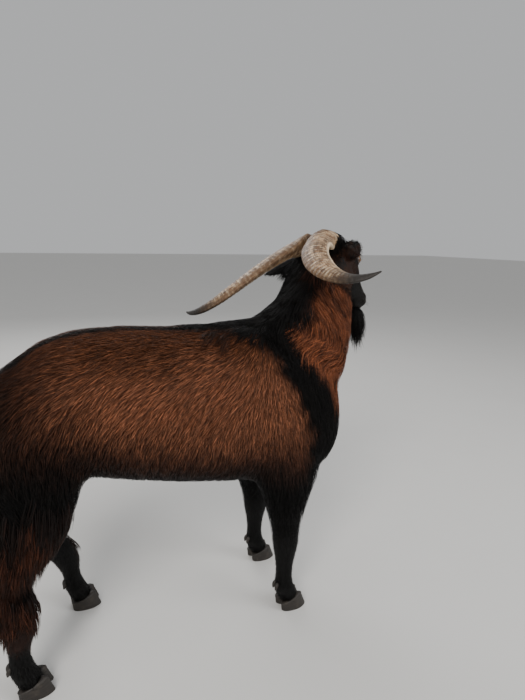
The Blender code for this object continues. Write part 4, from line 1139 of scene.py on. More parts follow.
def growShortCoat():
    fine = {"finer": 0.72, "shorter": 0.62, "clump": 0.15, "spread": 0.20}
    face = {"clump": 0.1, "spread": 0.12, "tipTone": 1.55, "toneSpread": 0.32}
    plans = (("body", bodyDensity, 2, {}, 40), ("bodyFine", bodyDensity, 1, fine, 43),
             ("limbs", limbDensity, 1, {"clump": 0.2}, 41), ("head", headDensity, 1, face, 42))
    for label, density, rows, extra, seed in plans:
        count = shortCoat[label]
        roots, normals, lies = scatterRoots(count, density, seed)
        keep = ~bareness(roots)
        roots, normals, lies = roots[keep], normals[keep], lies[keep]
        order = np.argsort(unwrapOf(roots)[:, 0])
        parts = math.ceil(len(roots) / shortCoat["perPiece"])
        for k, mine in enumerate(np.array_split(order, parts)):
            name = "coat_" + label + "_" + str(k + 1)
            settings = shortSettings(roots[mine], rows, extra)
            piece = growTufts(name, roots[mine], normals[mine], lies[mine], settings, seed * 10 + k)
            coatPieces.append(piece)
        print("short coat,", label, len(roots), "tufts")


growShortCoat()

# long hair: mane, breast, thigh skirts, hock tufts, forelock, poll, tail, belly and beard

hairCommon = {
    "half": 0.0012, "rise": 0.012, "outward": 0.0, "droop": 0.7, "hug": 0.30, "clump": 0.6,
    "fade": (8.0, 9.0), "tone": "black", "slot": "coat_black", "nodes": (), "rows": 3, "thick": 0.5,
    "clumpShare": 0.05, "spread": 0.13, "curl": 0.06, "rootTone": 0.45, "tipTone": 1.25,
    "toneSpread": 0.20, "paleTip": 0.35,
}
skirtHair = dict(hairCommon, reach=0.060, count=2400, length=0.105, rise=0.018, lie=(-0.10, 0.0, -1.0),
                 clump=0.65, tone="skirt", slot="coat_brown", fade=(0.395, 0.455))
hockHair = dict(hairCommon, reach=0.032, count=1000, length=0.072, half=0.0011, tone="skirt",
                slot="coat_brown", fade=(0.240, 0.275))
longHair = {
    "mane": dict(
        hairCommon, line=[(0.835, 0.040, 1.000), (0.800, 0.020, 0.955), (0.760, 0.010, 0.905),
                          (0.705, 0.0, 0.865), (0.630, 0.0, 0.835), (0.560, 0.0, 0.825)],
        reach=0.052, count=4200, length=0.100, lie=(-0.62, 0.0, -0.55), outward=0.55, droop=0.5, hug=0.35,
        nodes=("mane",)),
    "breastHair": dict(
        hairCommon, line=[(0.905, 0.0, 0.640), (0.915, 0.0, 0.560), (0.905, 0.0, 0.480), (0.870, 0.0, 0.415)],
        reach=0.095, count=2200, length=0.090, rise=0.004, lie=(0.05, 0.0, -1.0), droop=0.3, hug=0.75,
        clump=0.5, nodes=("breast_hair",)),
    "skirtRight": dict(
        skirtHair, nodes=("hind_right_skirt",),
        line=[(0.110, -0.150, 0.420), (0.040, -0.165, 0.425), (-0.045, -0.140, 0.430),
              (-0.075, -0.090, 0.440)]),
    "skirtLeft": dict(
        skirtHair, nodes=("hind_left_skirt",),
        line=[(0.130, 0.150, 0.420), (0.060, 0.165, 0.425), (-0.020, 0.140, 0.430), (-0.055, 0.090, 0.440)]),
    "hockRight": dict(
        hockHair, nodes=("hind_right_feather",), lie=(0.0, 0.0, -1.0),
        line=[(0.040, -0.150, 0.245), (-0.005, -0.165, 0.245), (-0.060, -0.130, 0.255)]),
    "hockLeft": dict(
        hockHair, nodes=("hind_left_feather",), lie=(0.1, 0.0, -1.0),
        line=[(0.160, 0.150, 0.245), (0.110, 0.165, 0.245), (0.050, 0.130, 0.255)]),
    "forelock": dict(
        hairCommon, line=[(0.905, 0.070, 1.080), (0.945, 0.090, 1.060), (0.975, 0.103, 1.040)],
        reach=0.034, count=1500, length=0.052, half=0.0009, rise=0.008, lie=(0.78, 0.28, -0.50), outward=0.25,
        droop=0.3, hug=0.5, tone="face", nodes=("forelock",)),
    "pollHair": dict(
        hairCommon, line=[(0.905, 0.030, 1.060), (0.925, 0.078, 1.066), (0.925, 0.120, 1.050)],
        reach=0.060, count=1900, length=0.036, half=0.0009, rise=0.009, lie=(-0.72, -0.30, 0.30), droop=0.2,
        hug=0.45, clump=0.45),
    "tailHair": dict(
        hairCommon, line=[(-0.095, 0.0, 0.712), (-0.125, 0.0, 0.712), (-0.160, 0.0, 0.695),
                          (-0.185, 0.0, 0.665)],
        reach=0.050, count=1900, length=0.080, lie=(-1.0, 0.0, -0.75), outward=0.15, droop=0.9, hug=0.10),
    "bellyFringe": dict(
        hairCommon, line=[(0.130, 0.0, 0.480), (0.300, 0.0, 0.445), (0.450, 0.0, 0.410), (0.600, 0.0, 0.380),
                          (0.700, 0.0, 0.365)],
        reach=0.100, count=2000, length=0.055, half=0.0011, rise=0.010, lie=(-0.45, 0.0, -0.9), droop=0.4,
        hug=0.65, clump=0.5),
}


def growLongHair(name, s, seed):
    line = np.array(s["line"])

    def density(p):
        d = distanceToPath(p, line) + 0.30 * s["reach"] * wobble(p, 0.05, 31)
        return (1 - ease(d, s["reach"] * 0.55, s["reach"] * 1.25)) * ~bareness(p)

    roots, normals, _ = scatterRoots(s["count"], density, seed)
    middle = line[np.argmin(((roots[:, None] - line[None]) ** 2).sum(2), 1)]
    away = np.clip((roots[:, 1] - middle[:, 1]) / s["reach"], -1, 1) * s["outward"]
    outward = np.stack([0 * away, away, 0 * away], 1)
    lies = np.array(s["lie"]) + outward
    if name.startswith("mane"):
        low = ease(np.abs(outward[:, 1]), 0.20, 0.50)[:, None]
        onNeck = ease(roots[:, 0], 0.62, 0.74)[:, None]
        lies = lies + (np.array([0.35, 0.0, -0.85]) + outward - lies) * low * onNeck
    lies = unit(lies - normals * rowDot(unit(lies), normals) * 0.8)
    tone = np.array(coatTones[s["tone"]])

    def colourOf(p):
        base = markingsAndShade(p)
        fade = 1 - 0.85 * ease(p[:, 2:3] + 0.012 * wobble(p, 0.03, 33)[:, None], *s["fade"])
        return base + (tone - base) * 0.75 * fade

    piece = growTufts(name, roots, normals, lies, dict(s, colourOf=colourOf), seed + 100)
    coatPieces.append(piece)
    return piece


beardHair = {"root": (0.246, 0.0, -0.124), "hang": (0.15, -0.14, -1.0), "length": 0.145, "count": 1900,
             "half": 0.0011, "wide": 0.029, "deep": 0.016, "spread": 0.019, "narrow": 0.60}


def growBeard():
    s = beardHair
    rng = np.random.default_rng(70)
    count, rows = s["count"], 3
    hang = unit(np.array(s["hang"]))
    across = headTurn @ np.array([0, 1.0, 0])
    across = unit(across - hang * across.dot(hang))
    ahead = np.cross(across, hang)
    root = moved(headPlace, np.array([s["root"]]))[0]
    angle, r = rng.uniform(0, 2 * math.pi, count), np.sqrt(rng.uniform(0, 1, count))
    u, v = (r * np.cos(angle))[:, None], (r * np.sin(angle))[:, None]
    starts = root + across * u * s["wide"] + ahead * v * s["deep"]
    spots, found = nearestOnSkin(starts)
    starts = spots - found * 0.002
    length = s["length"] * rng.uniform(0.50, 1.05, count) * (1 - 0.42 * r)
    lobe = rng.integers(0, 7, count)
    lobeWay = rng.normal(0, 0.010, (7, 3))
    path = []
    for k in range(rows + 1):
        t = k / rows
        out = (across * u + ahead * v) * s["spread"] * math.sin(2.3 * t)
        out = out - (across * u * s["wide"] + ahead * v * s["deep"]) * s["narrow"] * t ** 1.4
        stray = rng.normal(0, 0.0012, (count, 3)) * t
        path.append(starts + hang * (length * t)[:, None] + out + lobeWay[lobe] * t * t + stray)
    path = np.stack(path, 1)
    ups = np.repeat((across * u + ahead * v + 0.001)[:, None], rows + 1, 1)
    tone = np.array(coatTones["black"])
    settings = {"thick": 0.5, "rootTone": 0.7, "tipTone": 1.3, "toneSpread": 0.25, "paleTip": 0.3,
                "colourOf": lambda p: np.repeat(tone[None], len(p), 0)}
    piece = tuftMesh("beard_locks", path, unit(ups), np.full(count, s["half"]), settings, rng, starts)
    coatPieces.append(piece)
    return piece


hairPieces = {}
for number, (hairName, hairSettings) in enumerate(longHair.items()):
    hairPieces[hairName] = growLongHair(hairName + "_locks", hairSettings, 50 + number)
hairPieces["beard"] = growBeard()
print("long hair grown")

# the skin itself, in its colours

skinPiece = meshPiece("skin", skinPoints, skinTris, skinColours)
skinPiece.data.materials.append(skinMat)


# eyes: wet balls with a level slot of a pupil

eyeTones = {"iris": (0.270, 0.115, 0.020), "irisDark": (0.055, 0.022, 0.007), "pupil": (0.003, 0.003, 0.004),
            "white": (0.045, 0.026, 0.017), "irisSize": 0.72, "irisInner": 0.42, "irisSoft": 0.03,
            "slotLong": 0.46, "slotHigh": 0.19, "slotPower": 4.0}
eyeFinish = {"Roughness": 0.12, "Coat Weight": 0.5, "Coat Roughness": 0.02, "Specular IOR Level": 0.15}


def eyeMaterial():
    mat, tree, shader = nodeMaterial("wet eye", eyeFinish)
    s = eyeTones
    place = attributeOf(tree, "eyePlace", "Vector")
    split = addNode(tree, "ShaderNodeSeparateXYZ", None, {0: place})
    a, b = split.outputs[0], split.outputs[1]
    reach = mathNode(tree, "ADD", mathNode(tree, "MULTIPLY", a, a), mathNode(tree, "MULTIPLY", b, b))
    reach = mathNode(tree, "SQRT", reach)
    streaks = addNode(tree, "ShaderNodeTexNoise", None, {"Vector": place, "Scale": 9.0, "Detail": 4.0})
    iris = mixColours(tree, rangeNode(tree, streaks.outputs["Fac"], 0.0, 0.8), s["iris"], s["irisDark"])
    iris = mixColours(tree, softStep(tree, reach, s["irisInner"], s["irisSize"]), iris, s["irisDark"])
    rim = softStep(tree, reach, s["irisSize"] - s["irisSoft"], s["irisSize"] + s["irisSoft"])
    colour = mixColours(tree, rim, iris, s["white"])
    shares = []
    for value, size in ((a, s["slotLong"]), (b, s["slotHigh"])):
        share = mathNode(tree, "ABSOLUTE", mathNode(tree, "DIVIDE", value, size))
        shares.append(mathNode(tree, "POWER", share, s["slotPower"]))
    slot = softStep(tree, mathNode(tree, "ADD", *shares), 1.35, 0.65)
    tree.links.new(mixColours(tree, slot, colour, s["pupil"]), shader.inputs["Base Color"])
    return mat


eyeMat = eyeMaterial()


def buildEye(label, side):
    rings = []
    out, _, _ = eyeFrame(side)
    # the slot of the pupil stays level however the head is held
    level = unit(np.cross(headTurn @ out, [0.0, 0.0, 1.0]))
    along = unit(level @ headTurn)
    up = np.cross(out, along)
    columns, rows = 64, 44
    for k in range(1, rows):
        a = math.pi * (k / rows) ** 1.25
        b = anglesRound(columns)
        ring = [np.cos(b) * math.sin(a), np.sin(b) * math.sin(a), np.full(columns, math.cos(a))]
        rings.append(np.stack(ring, 1))
    local, tris = ringSkin(rings)
    local[-2], local[-1] = (0, 0, 1), (0, 0, -1)
    points = (local[:, :1] * along + local[:, 1:2] * up + local[:, 2:] * out) * eyeSize["radius"]
    if (np.cross(along, up) @ out) < 0:
        tris = tris[:, ::-1]
    piece = meshPiece("eye_" + label + "_ball", moved(headPlace, points + eyeCentre(side)), tris)
    putValues(piece.data, "eyePlace", local)
    piece.data.materials.append(eyeMat)
    return piece


eyePieces = {"left": buildEye("left", 1), "right": buildEye("right", -1)}
print("eyes made")


# horns: a section carried along a path by Geometry Nodes, with growth rings

hornSettings = {
    # the four points of one smooth curve, in the horn's own frame
    "path": [(-0.014, 0.032, -0.025), (-0.216, 0.039, -0.176), (-0.243, 0.172, -0.393),
             (-0.215, 0.292, -0.325)],
    "root": (0.024, -0.006, -0.019), "twist": (12.0, 73.0, 27.0), "twistOver": 0.22,
    # share of length, half breadth, half thickness
    "sizes": [(0.00, 0.0330, 0.0225), (0.12, 0.0360, 0.0205), (0.30, 0.0366, 0.0170), (0.50, 0.0336, 0.0140),
              (0.65, 0.0257, 0.0122), (0.80, 0.0163, 0.0095), (0.93, 0.0084, 0.0058), (1.00, 0.0018, 0.0016)],
    "steps": 300, "sides": 60, "ringCount": 36.0, "ringHeight": 0.0017, "keel": 0.30,
    "rootLean": (30.0, 62.0), "leanOver": 0.07,
}


def hornPathAt(t):
    a, b, c, d = (np.array(p) for p in hornSettings["path"])
    u = 1 - t
    return a * u ** 3 + b * 3 * u * u * t + c * 3 * u * t * t + d * t ** 3


def nodeTree(name, inputs):
    tree = bpy.data.node_groups.new(name, "GeometryNodeTree")
    tree.interface.new_socket("Geometry", in_out="INPUT", socket_type="NodeSocketGeometry")
    for label, kind in inputs:
        tree.interface.new_socket(label, in_out="INPUT", socket_type=kind)
    tree.interface.new_socket("Geometry", in_out="OUTPUT", socket_type="NodeSocketGeometry")
    return tree, tree.nodes.new("NodeGroupInput"), tree.nodes.new("NodeGroupOutput")


def namedValue(tree, name, kind):
    node = addNode(tree, "GeometryNodeInputNamedAttribute", {"data_type": kind}, {"Name": name})
    return node.outputs["Attribute"]


def sampleLine(tree, geometry, index, kind, attribute=None):
    if attribute:
        source = namedValue(tree, attribute, kind)
    else:
        source = addNode(tree, "GeometryNodeInputPosition").outputs[0]
    sample = addNode(tree, "GeometryNodeSampleIndex", {"data_type": kind, "domain": "POINT"},
                     {"Geometry": geometry, "Value": source, "Index": index})
    return sample.outputs["Value"]


def finishTree(tree, geometry, material, groupOut):
    real = addNode(tree, "GeometryNodeRealizeInstances", None, {"Geometry": geometry})
    finish = {"Geometry": real.outputs[0], "Material": material}
    painted = addNode(tree, "GeometryNodeSetMaterial", None, finish)
    tree.links.new(painted.outputs[0], groupOut.inputs[0])


def hornTree():
    inputs = [("Rows", "NodeSocketInt"), ("Sides", "NodeSocketInt"), ("Ring count", "NodeSocketFloat"),
              ("Ring height", "NodeSocketFloat"), ("Keel", "NodeSocketFloat"),
              ("Horn material", "NodeSocketMaterial")]
    tree, groupIn, groupOut = nodeTree("ringed horn", inputs)

    def plus(first, second):
        return mathNode(tree, "ADD", first, second)

    def minus(first, second):
        return mathNode(tree, "SUBTRACT", first, second)

    def times(first, second):
        return mathNode(tree, "MULTIPLY", first, second)

    rows, sides = groupIn.outputs["Rows"], groupIn.outputs["Sides"]
    flat = {"Size X": 1.0, "Size Y": 1.0, "Vertices X": rows, "Vertices Y": sides}
    geometry = addNode(tree, "GeometryNodeMeshGrid", None, flat).outputs["Mesh"]
    position = addNode(tree, "GeometryNodeInputPosition").outputs[0]
    split = addNode(tree, "ShaderNodeSeparateXYZ", None, {0: position})
    share = plus(split.outputs[0], 0.5)
    angle = times(plus(split.outputs[1], 0.5), 2 * math.pi)
    index = mathNode(tree, "ROUND", times(share, minus(rows, 1.0)))
    line = groupIn.outputs["Geometry"]
    centre = sampleLine(tree, line, index, "FLOAT_VECTOR")
    broad = sampleLine(tree, line, index, "FLOAT_VECTOR", "broadWay")
    across = sampleLine(tree, line, index, "FLOAT_VECTOR", "acrossWay")
    half = sampleLine(tree, line, index, "FLOAT", "halfBroad")
    thick = sampleLine(tree, line, index, "FLOAT", "halfThick")
    along = sampleLine(tree, line, index, "FLOAT", "alongShare")
    cos, sin = mathNode(tree, "COSINE", angle), mathNode(tree, "SINE", angle)
    # rings bulge in rounded humps with narrow grooves, uneven in height and slightly wavy
    waver = {"Vector": centre, "Scale": 26.0, "Detail": 2.0}
    noise = addNode(tree, "ShaderNodeTexNoise", None, waver).outputs[0]
    waves = plus(times(noise, 2.2), times(cos, 0.22))
    phase = plus(times(along, groupIn.outputs["Ring count"]), waves)
    hump = mathNode(tree, "ABSOLUTE", mathNode(tree, "SINE", times(phase, math.pi)))
    hump = mathNode(tree, "POWER", hump, 0.65)
    fade = times(minus(1.0, mathNode(tree, "POWER", along, 3.0)), groupIn.outputs["Ring height"])
    size = mathNode(tree, "MINIMUM", 1.0, times(half, 60.0))
    lift = times(times(minus(hump, 0.75), fade), size)
    keel = minus(1.0, times(groupIn.outputs["Keel"], times(cos, cos)))
    wide = times(plus(half, lift), cos)
    high = times(times(plus(thick, lift), sin), keel)
    sideways = vectorNode(tree, "SCALE", broad, wide, "Scale")
    upward = vectorNode(tree, "SCALE", across, high, "Scale")
    place = vectorNode(tree, "ADD", centre, vectorNode(tree, "ADD", sideways, upward))
    fibre = addNode(tree, "ShaderNodeCombineXYZ", None, {0: times(along, 0.5), 1: wide, 2: high})
    marks = (("alongHorn", "FLOAT", along), ("ringHump", "FLOAT", hump), ("hornEdge", "FLOAT", cos),
             ("hornPlace", "FLOAT_VECTOR", fibre.outputs[0]), ("hornSpot", "FLOAT_VECTOR", place))
    for label, kind, value in marks:
        node = addNode(tree, "GeometryNodeStoreNamedAttribute", {"data_type": kind, "domain": "POINT"},
                       {"Geometry": geometry, "Name": label, "Value": value})
        geometry = node.outputs[0]
    moveTo = {"Geometry": geometry, "Position": namedValue(tree, "hornSpot", "FLOAT_VECTOR")}
    shaped = addNode(tree, "GeometryNodeSetPosition", None, moveTo).outputs[0]
    merged = addNode(tree, "GeometryNodeMergeByDistance", None, {"Geometry": shaped, "Distance": 0.00002})
    smooth = addNode(tree, "GeometryNodeSetShadeSmooth", None, {"Geometry": merged.outputs[0]})
    finishTree(tree, smooth.outputs[0], groupIn.outputs["Horn material"], groupOut)
    return tree


def setInputs(mod, values):
    for item in mod.node_group.interface.items_tree:
        if item.item_type == "SOCKET" and item.in_out == "INPUT" and item.name in values:
            mod[item.identifier] = values[item.name]


def outwardFaces(mesh):
    bm = bmesh.new()
    bm.from_mesh(mesh)
    bmesh.ops.recalc_face_normals(bm, faces=bm.faces)
    bm.to_mesh(mesh)
    bm.free()


# pale is painted highlight on the ring crests and on one broad face; dark is the horn's own dark blotches,
# streaks and fibres, and also painted shade in the ring grooves and on the other broad face
hornTones = {"light": (0.50, 0.330, 0.185), "dark": (0.082, 0.043, 0.021), "tip": (0.022, 0.018, 0.015),
             "pale": (0.93, 0.74, 0.52), "red": (0.185, 0.080, 0.036)}
hornNoises = {
    # scale, stretch, detail
    "blotch": (42.0, (1.0, 1.0, 1.0), 5.0), "fibre": (330.0, (0.16, 1.0, 1.0), 4.0),
    "flake": (120.0, (0.7, 0.5, 0.5), 5.0), "streak": (95.0, (0.22, 1.0, 1.0), 4.0),
}


def hornMaterial():
    mat, tree, shader = nodeMaterial("ringed horn", {"Specular IOR Level": 0.28})
    value = {"ring": attributeOf(tree, "ringHump"), "edge": attributeOf(tree, "hornEdge")}
    for name, (scale, stretch, detail) in hornNoises.items():
        value[name] = noiseOn(tree, attributeOf(tree, "hornPlace", "Vector"), scale, detail, 0.62, stretch)
    crestHighlight = mathNode(tree, "MULTIPLY", softStep(tree, value["flake"], 0.58, 0.40), 0.5)
    # what is read, where the tone starts and is full, its strength and the tone; the ring and edge layers are
    # painted highlight and painted shade
    layers = (("blotch", 0.40, 0.68, 0.70, "dark"), ("flake", 0.49, 0.63, 0.70, "red"),
              ("streak", 0.46, 0.62, 0.84, "dark"), ("ring", 0.80, 1.0, crestHighlight, "pale"),
              ("ring", 0.46, 0.10, 0.70, "dark"), ("fibre", 0.47, 0.62, 0.70, "dark"),
              ("edge", 0.80, 0.98, 0.60, "pale"), ("edge", -0.35, -0.90, 0.68, "dark"))
    colour = hornTones["light"]
    for name, low, high, strength, tone in layers:
        share = mathNode(tree, "MULTIPLY", softStep(tree, value[name], low, high), strength)
        colour = mixColours(tree, share, colour, hornTones[tone])
    atTip = softStep(tree, attributeOf(tree, "alongHorn"), 0.58, 0.86)
    colour = mixColours(tree, atTip, colour, hornTones["tip"])
    tree.links.new(colour, shader.inputs["Base Color"])
    tree.links.new(rangeNode(tree, value["flake"], 0.34, 0.62), shader.inputs["Roughness"])
    height = mathNode(tree, "ADD", value["fibre"], mathNode(tree, "MULTIPLY", value["flake"], 0.8))
    bumpInto(tree, shader, height, 0.9, 0.0016)
    return mat


hornMat = hornMaterial()
hornGroup = hornTree()


def buildHorn(label, side):
    s = hornSettings
    table = np.array(s["sizes"])
    count = s["steps"]
    points, broads, acrosses, sizes, shares = [], [], [], [], []
    flat = np.array([0.0, 1.0, 0.0])
    twistFrom, twistBy, twistAfter = s["twist"]
    for k in range(-2, count + 1):
        t = max(0, k) / count
        ahead = unit(hornPathAt(t + 0.01) - hornPathAt(t - 0.01))
        flat = unit(flat - ahead * flat.dot(ahead))
        twist = twistFrom + (twistBy - twistFrom) * float(ease(t, 0, s["twistOver"])) + twistAfter * t
        twist = math.radians(twist)
        broad = np.cross(ahead, flat) * math.cos(twist) + flat * math.sin(twist)
        points.append(hornPathAt(t) + (np.array(s["root"]) if k < 0 else 0))
        leanOn = s["rootLean"][0] * (1 - float(ease(t, 0.0, s["leanOver"])))
        lean = math.radians(s["rootLean"][1] if k < 0 else leanOn)
        broads.append(broad * math.cos(lean) - ahead * math.sin(lean))
        acrosses.append(np.cross(ahead, broad))
        closed = k == -2 or k == count
        sizes.append([0.0 if closed else float(np.interp(t, table[:, 0], table[:, c])) for c in (1, 2)])
        shares.append(t)
    flip = np.array([1.0, side, 1.0])
    turn = toArray(hornPlace)[:3, :3]
    centres = moved(hornPlace, np.array(points) * flip) + np.array(goatShift)
    mesh = bpy.data.meshes.new("horn_line")
    mesh.from_pydata(centres.tolist(), [(i, i + 1) for i in range(len(centres) - 1)], [])
    putValues(mesh, "broadWay", (np.array(broads) * flip) @ turn.T)
    putValues(mesh, "acrossWay", (np.array(acrosses) * flip) @ turn.T)
    putValues(mesh, "halfBroad", np.array(sizes)[:, 0])
    putValues(mesh, "halfThick", np.array(sizes)[:, 1])
    putValues(mesh, "alongShare", shares)
    piece = newObject("horn_" + label + "_ringed", mesh)
    mod = piece.modifiers.new("horn", "NODES")
    mod.node_group = hornGroup
    setInputs(mod, {"Rows": len(centres), "Sides": s["sides"], "Ring count": s["ringCount"],
                    "Ring height": s["ringHeight"], "Keel": s["keel"], "Horn material": hornMat})
    finishModifiers(piece)
    outwardFaces(piece.data)
    return piece


hornPieces = {"left": buildHorn("left", 1), "right": buildHorn("right", -1)}
print("horns made,", len(hornPieces["left"].data.polygons), "faces each")


# whiskers and lashes: bristles on points by Geometry Nodes

bristleSettings = {
    "whiskers": {"radius": 0.00022, "count": 22, "length": (0.012, 0.026), "x": (0.235, 0.288),
                 "y": (0.026, 0.040), "z": (-0.100, -0.062)},
    "lashes": {"radius": 0.00020, "count": 26, "length": 0.0095},
    "tones": ((0.02, 0.016, 0.013), (0.10, 0.075, 0.055)),
}


def bristleTree():
    inputs = [("Radius", "NodeSocketFloat"), ("Bristle material", "NodeSocketMaterial")]
    tree, groupIn, groupOut = nodeTree("bristles on points", inputs)
    cone = addNode(tree, "GeometryNodeMeshCone", None,
                   {"Vertices": 5, "Side Segments": 6, "Radius Top": 0.08, "Radius Bottom": 1.0,
                    "Depth": 1.0})
    lengthOf = namedValue(tree, "bristleLength", "FLOAT")
    wayOf = namedValue(tree, "bristleWay", "FLOAT_VECTOR")
    toPoints = addNode(tree, "GeometryNodeMeshToPoints", None, {"Mesh": groupIn.outputs["Geometry"]})
    turn = addNode(tree, "FunctionNodeAlignEulerToVector", {"axis": "Z"}, {"Vector": wayOf})
    radius = groupIn.outputs["Radius"]
    scale = addNode(tree, "ShaderNodeCombineXYZ", None, {0: radius, 1: radius, 2: lengthOf})
    placed = addNode(tree, "GeometryNodeInstanceOnPoints", None,
                     {"Points": toPoints.outputs[0], "Instance": cone.outputs["Mesh"],
                      "Rotation": turn.outputs[0], "Scale": scale.outputs[0]})
    smooth = addNode(tree, "GeometryNodeSetShadeSmooth", None, {"Geometry": placed.outputs[0]})
    finishTree(tree, smooth.outputs[0], groupIn.outputs["Bristle material"], groupOut)
    return tree


def bristleMaterial():
    mat, tree, shader = nodeMaterial("whisker", {"Roughness": 0.4})
    colour = mixColours(tree, noiseNode(tree, 300.0), *bristleSettings["tones"])
    tree.links.new(colour, shader.inputs["Base Color"])
    return mat


bristleMat = bristleMaterial()
bristleGroup = bristleTree()


def buildBristles(name, roots, ways, lengths):
    s = bristleSettings[name]
    mesh = bpy.data.meshes.new(name)
    mesh.from_pydata((np.asarray(roots) + np.array(goatShift)).tolist(), [], [])
    putValues(mesh, "bristleWay", ways)
    putValues(mesh, "bristleLength", lengths)
    piece = newObject(name, mesh)
    mod = piece.modifiers.new("bristles", "NODES")
    mod.node_group = bristleGroup
    setInputs(mod, {"Radius": s["radius"], "Bristle material": bristleMat})
    finishModifiers(piece)
    outwardFaces(piece.data)
    return piece


def lashRoots():
    s = bristleSettings["lashes"]
    half, high = faceSettings["opening"]
    power = 2 / faceSettings["almond"]
    roots, ways, lengths = [], [], []
    for side in (1, -1):
        out, along, up = eyeFrame(side)
        for k in range(s["count"]):
            a = math.radians(20 + 140 * k / (s["count"] - 1))
            across = along * half * math.cos(a) * abs(math.cos(a)) ** (power - 1)
            spot = across + up * (high * math.sin(a) ** power + 0.0008)
            deep = math.sqrt(max(0.0, (eyeSize["radius"] + 0.0016) ** 2 - spot.dot(spot)))
            roots.append(eyeCentre(side) + spot + out * deep)
            fan = along * (math.cos(a) * 0.5 + 0.1 * math.sin(k * 1.7))
            ways.append(unit(out * 0.75 + up * (0.05 + 0.3 * math.sin(k * 2.4)) + fan))
            lengths.append(s["length"] + 0.002 * math.sin(k * 3.1))
    return moved(headPlace, np.array(roots)), np.array(ways) @ headTurn.T, lengths


def whiskerRoots():
    s = bristleSettings["whiskers"]
    rng = np.random.default_rng(81)
    roots, ways, lengths = [], [], []
    for side in (1, -1):
        for _ in range(s["count"]):
            roots.append(np.array([rng.uniform(*s["x"]), side * rng.uniform(*s["y"]), rng.uniform(*s["z"])]))
            way = [rng.uniform(-0.1, 0.5), side * rng.uniform(0.5, 1.0), rng.uniform(-0.9, -0.1)]
            ways.append(unit(np.array(way)))
            lengths.append(rng.uniform(*s["length"]))
    spots, normals = nearestOnSkin(moved(headPlace, np.array(roots)))
    return spots - normals * 0.0005, np.array(ways) @ headTurn.T, lengths


bristlePieces = [buildBristles("lashes", *lashRoots()), buildBristles("whiskers", *whiskerRoots())]
print("whiskers and lashes made")


# hooves: two claws and two dewclaws a foot

hoofSettings = {
    "length": 0.078, "width": 0.031, "heel": 0.026, "toe": 0.046, "split": 0.0035, "topShare": 0.80,
    "slant": 0.0105, "ahead": 0.024, "rows": 26, "columns": 40, "ledge": 0.00022, "ledges": 5,
    "dewclaw": {"apart": 0.0150, "height": 0.078, "radius": 0.0070, "long": 0.0115},
}


hoofTones = {"dark": (0.011, 0.009, 0.008), "light": (0.032, 0.026, 0.021), "worn": (0.062, 0.051, 0.040)}


def hoofMaterial():
    mat, tree, shader = nodeMaterial("hoof horn", {"Specular IOR Level": 0.4})
    bands = noiseNode(tree, 120.0, 4.0, 0.6, (0.25, 0.25, 2.2))
    wear = noiseNode(tree, 60.0, 3.0)
    colour = mixColours(tree, rangeNode(tree, bands, 0.0, 1.0), hoofTones["dark"], hoofTones["light"])
    worn = mathNode(tree, "MULTIPLY", softStep(tree, wear, 0.52, 0.75), 0.5)
    colour = mixColours(tree, worn, colour, hoofTones["worn"])
    tree.links.new(colour, shader.inputs["Base Color"])
    tree.links.new(rangeNode(tree, wear, 0.42, 0.70), shader.inputs["Roughness"])
    bumpInto(tree, shader, bands, 0.5, 0.0010)
    return mat


hoofMat = hoofMaterial()


def buildClaw(name, foot, side):
    s = hoofSettings
    footX, footY = legSizes["stance"][foot][:2]
    a = anglesRound(s["columns"])
    c, sn = np.cos(a), np.sin(a)
    rings = []
    for k in range(s["rows"] + 1):
        t = k / s["rows"]
        sole = 1 - 0.05 * (1 - float(ease(t, 0.0, 0.10)))
        band = 1 + 0.03 * math.exp(-((t - 0.90) / 0.06) ** 2) - 0.14 * float(ease(t, 0.93, 1.0))
        ledge = s["ledge"] * abs(math.sin(math.pi * s["ledges"] * t ** 0.8)) / (s["width"] / 2)
        grow = sole * band * (1 + ledge)
        taper = 1 - (1 - s["topShare"]) * t
        x = c * s["length"] / 2 * taper * grow - s["slant"] * t
        y = sn * s["width"] / 2 * (1 - 0.34 * np.clip(c, 0, 1) ** 3) * (1 - 0.09 * t) * grow
        inner = -side * s["width"] / 2 * 0.84
        y = np.maximum(y, inner) if side > 0 else np.minimum(y, inner)
        height = s["heel"] + (s["toe"] - s["heel"]) * (c * 0.5 + 0.5)
        centreY = footY + side * (s["width"] + s["split"]) / 2
        rings.append(np.stack([footX + s["ahead"] + x, centreY + y, height * t], 1))
    points, tris = ringSkin(rings)
    piece = meshPiece(name, points, tris)
    outwardFaces(piece.data)
    piece.data.materials.append(hoofMat)
    return piece


def buildDewclaws(foot):
    d = hoofSettings["dewclaw"]
    footX, footY = legSizes["stance"][foot][:2]
    forms = []
    for side in (1, -1):
        spots, normals = nearestOnSkin(np.array([[footX - 0.060, footY + side * d["apart"], d["height"]]]))
        points, tris = ballForm((0, 0, 0), (d["radius"], d["radius"] * 0.9, d["long"]), 18, 12)
        points[:, :2] *= (0.62 + 0.38 * ease(points[:, 2:3], -d["long"], d["long"] * 0.6))
        points[:, 0] += 0.30 * points[:, 2]
        forms.append((points + spots[0] + normals[0] * 0.0025, tris))
    piece = joinForms(foot + "_dewclaws", forms)
    points, tris = readMesh(piece.data)
    bpy.data.objects.remove(piece)
    piece = meshPiece(foot + "_dewclaws", points, tris)
    outwardFaces(piece.data)
    piece.data.materials.append(hoofMat)
    return piece


clawPieces, dewclawPieces = {}, []
for footName in legSizes["stance"]:
    for clawSide, clawLabel in ((1, "left"), (-1, "right")):
        node = footName + "_hoof_" + clawLabel + "_claw"
        clawPieces[node] = buildClaw(node + "_shaped", footName, clawSide)
    dewclawPieces.append(buildDewclaws(footName))
print("hooves made")


# floor, light and camera

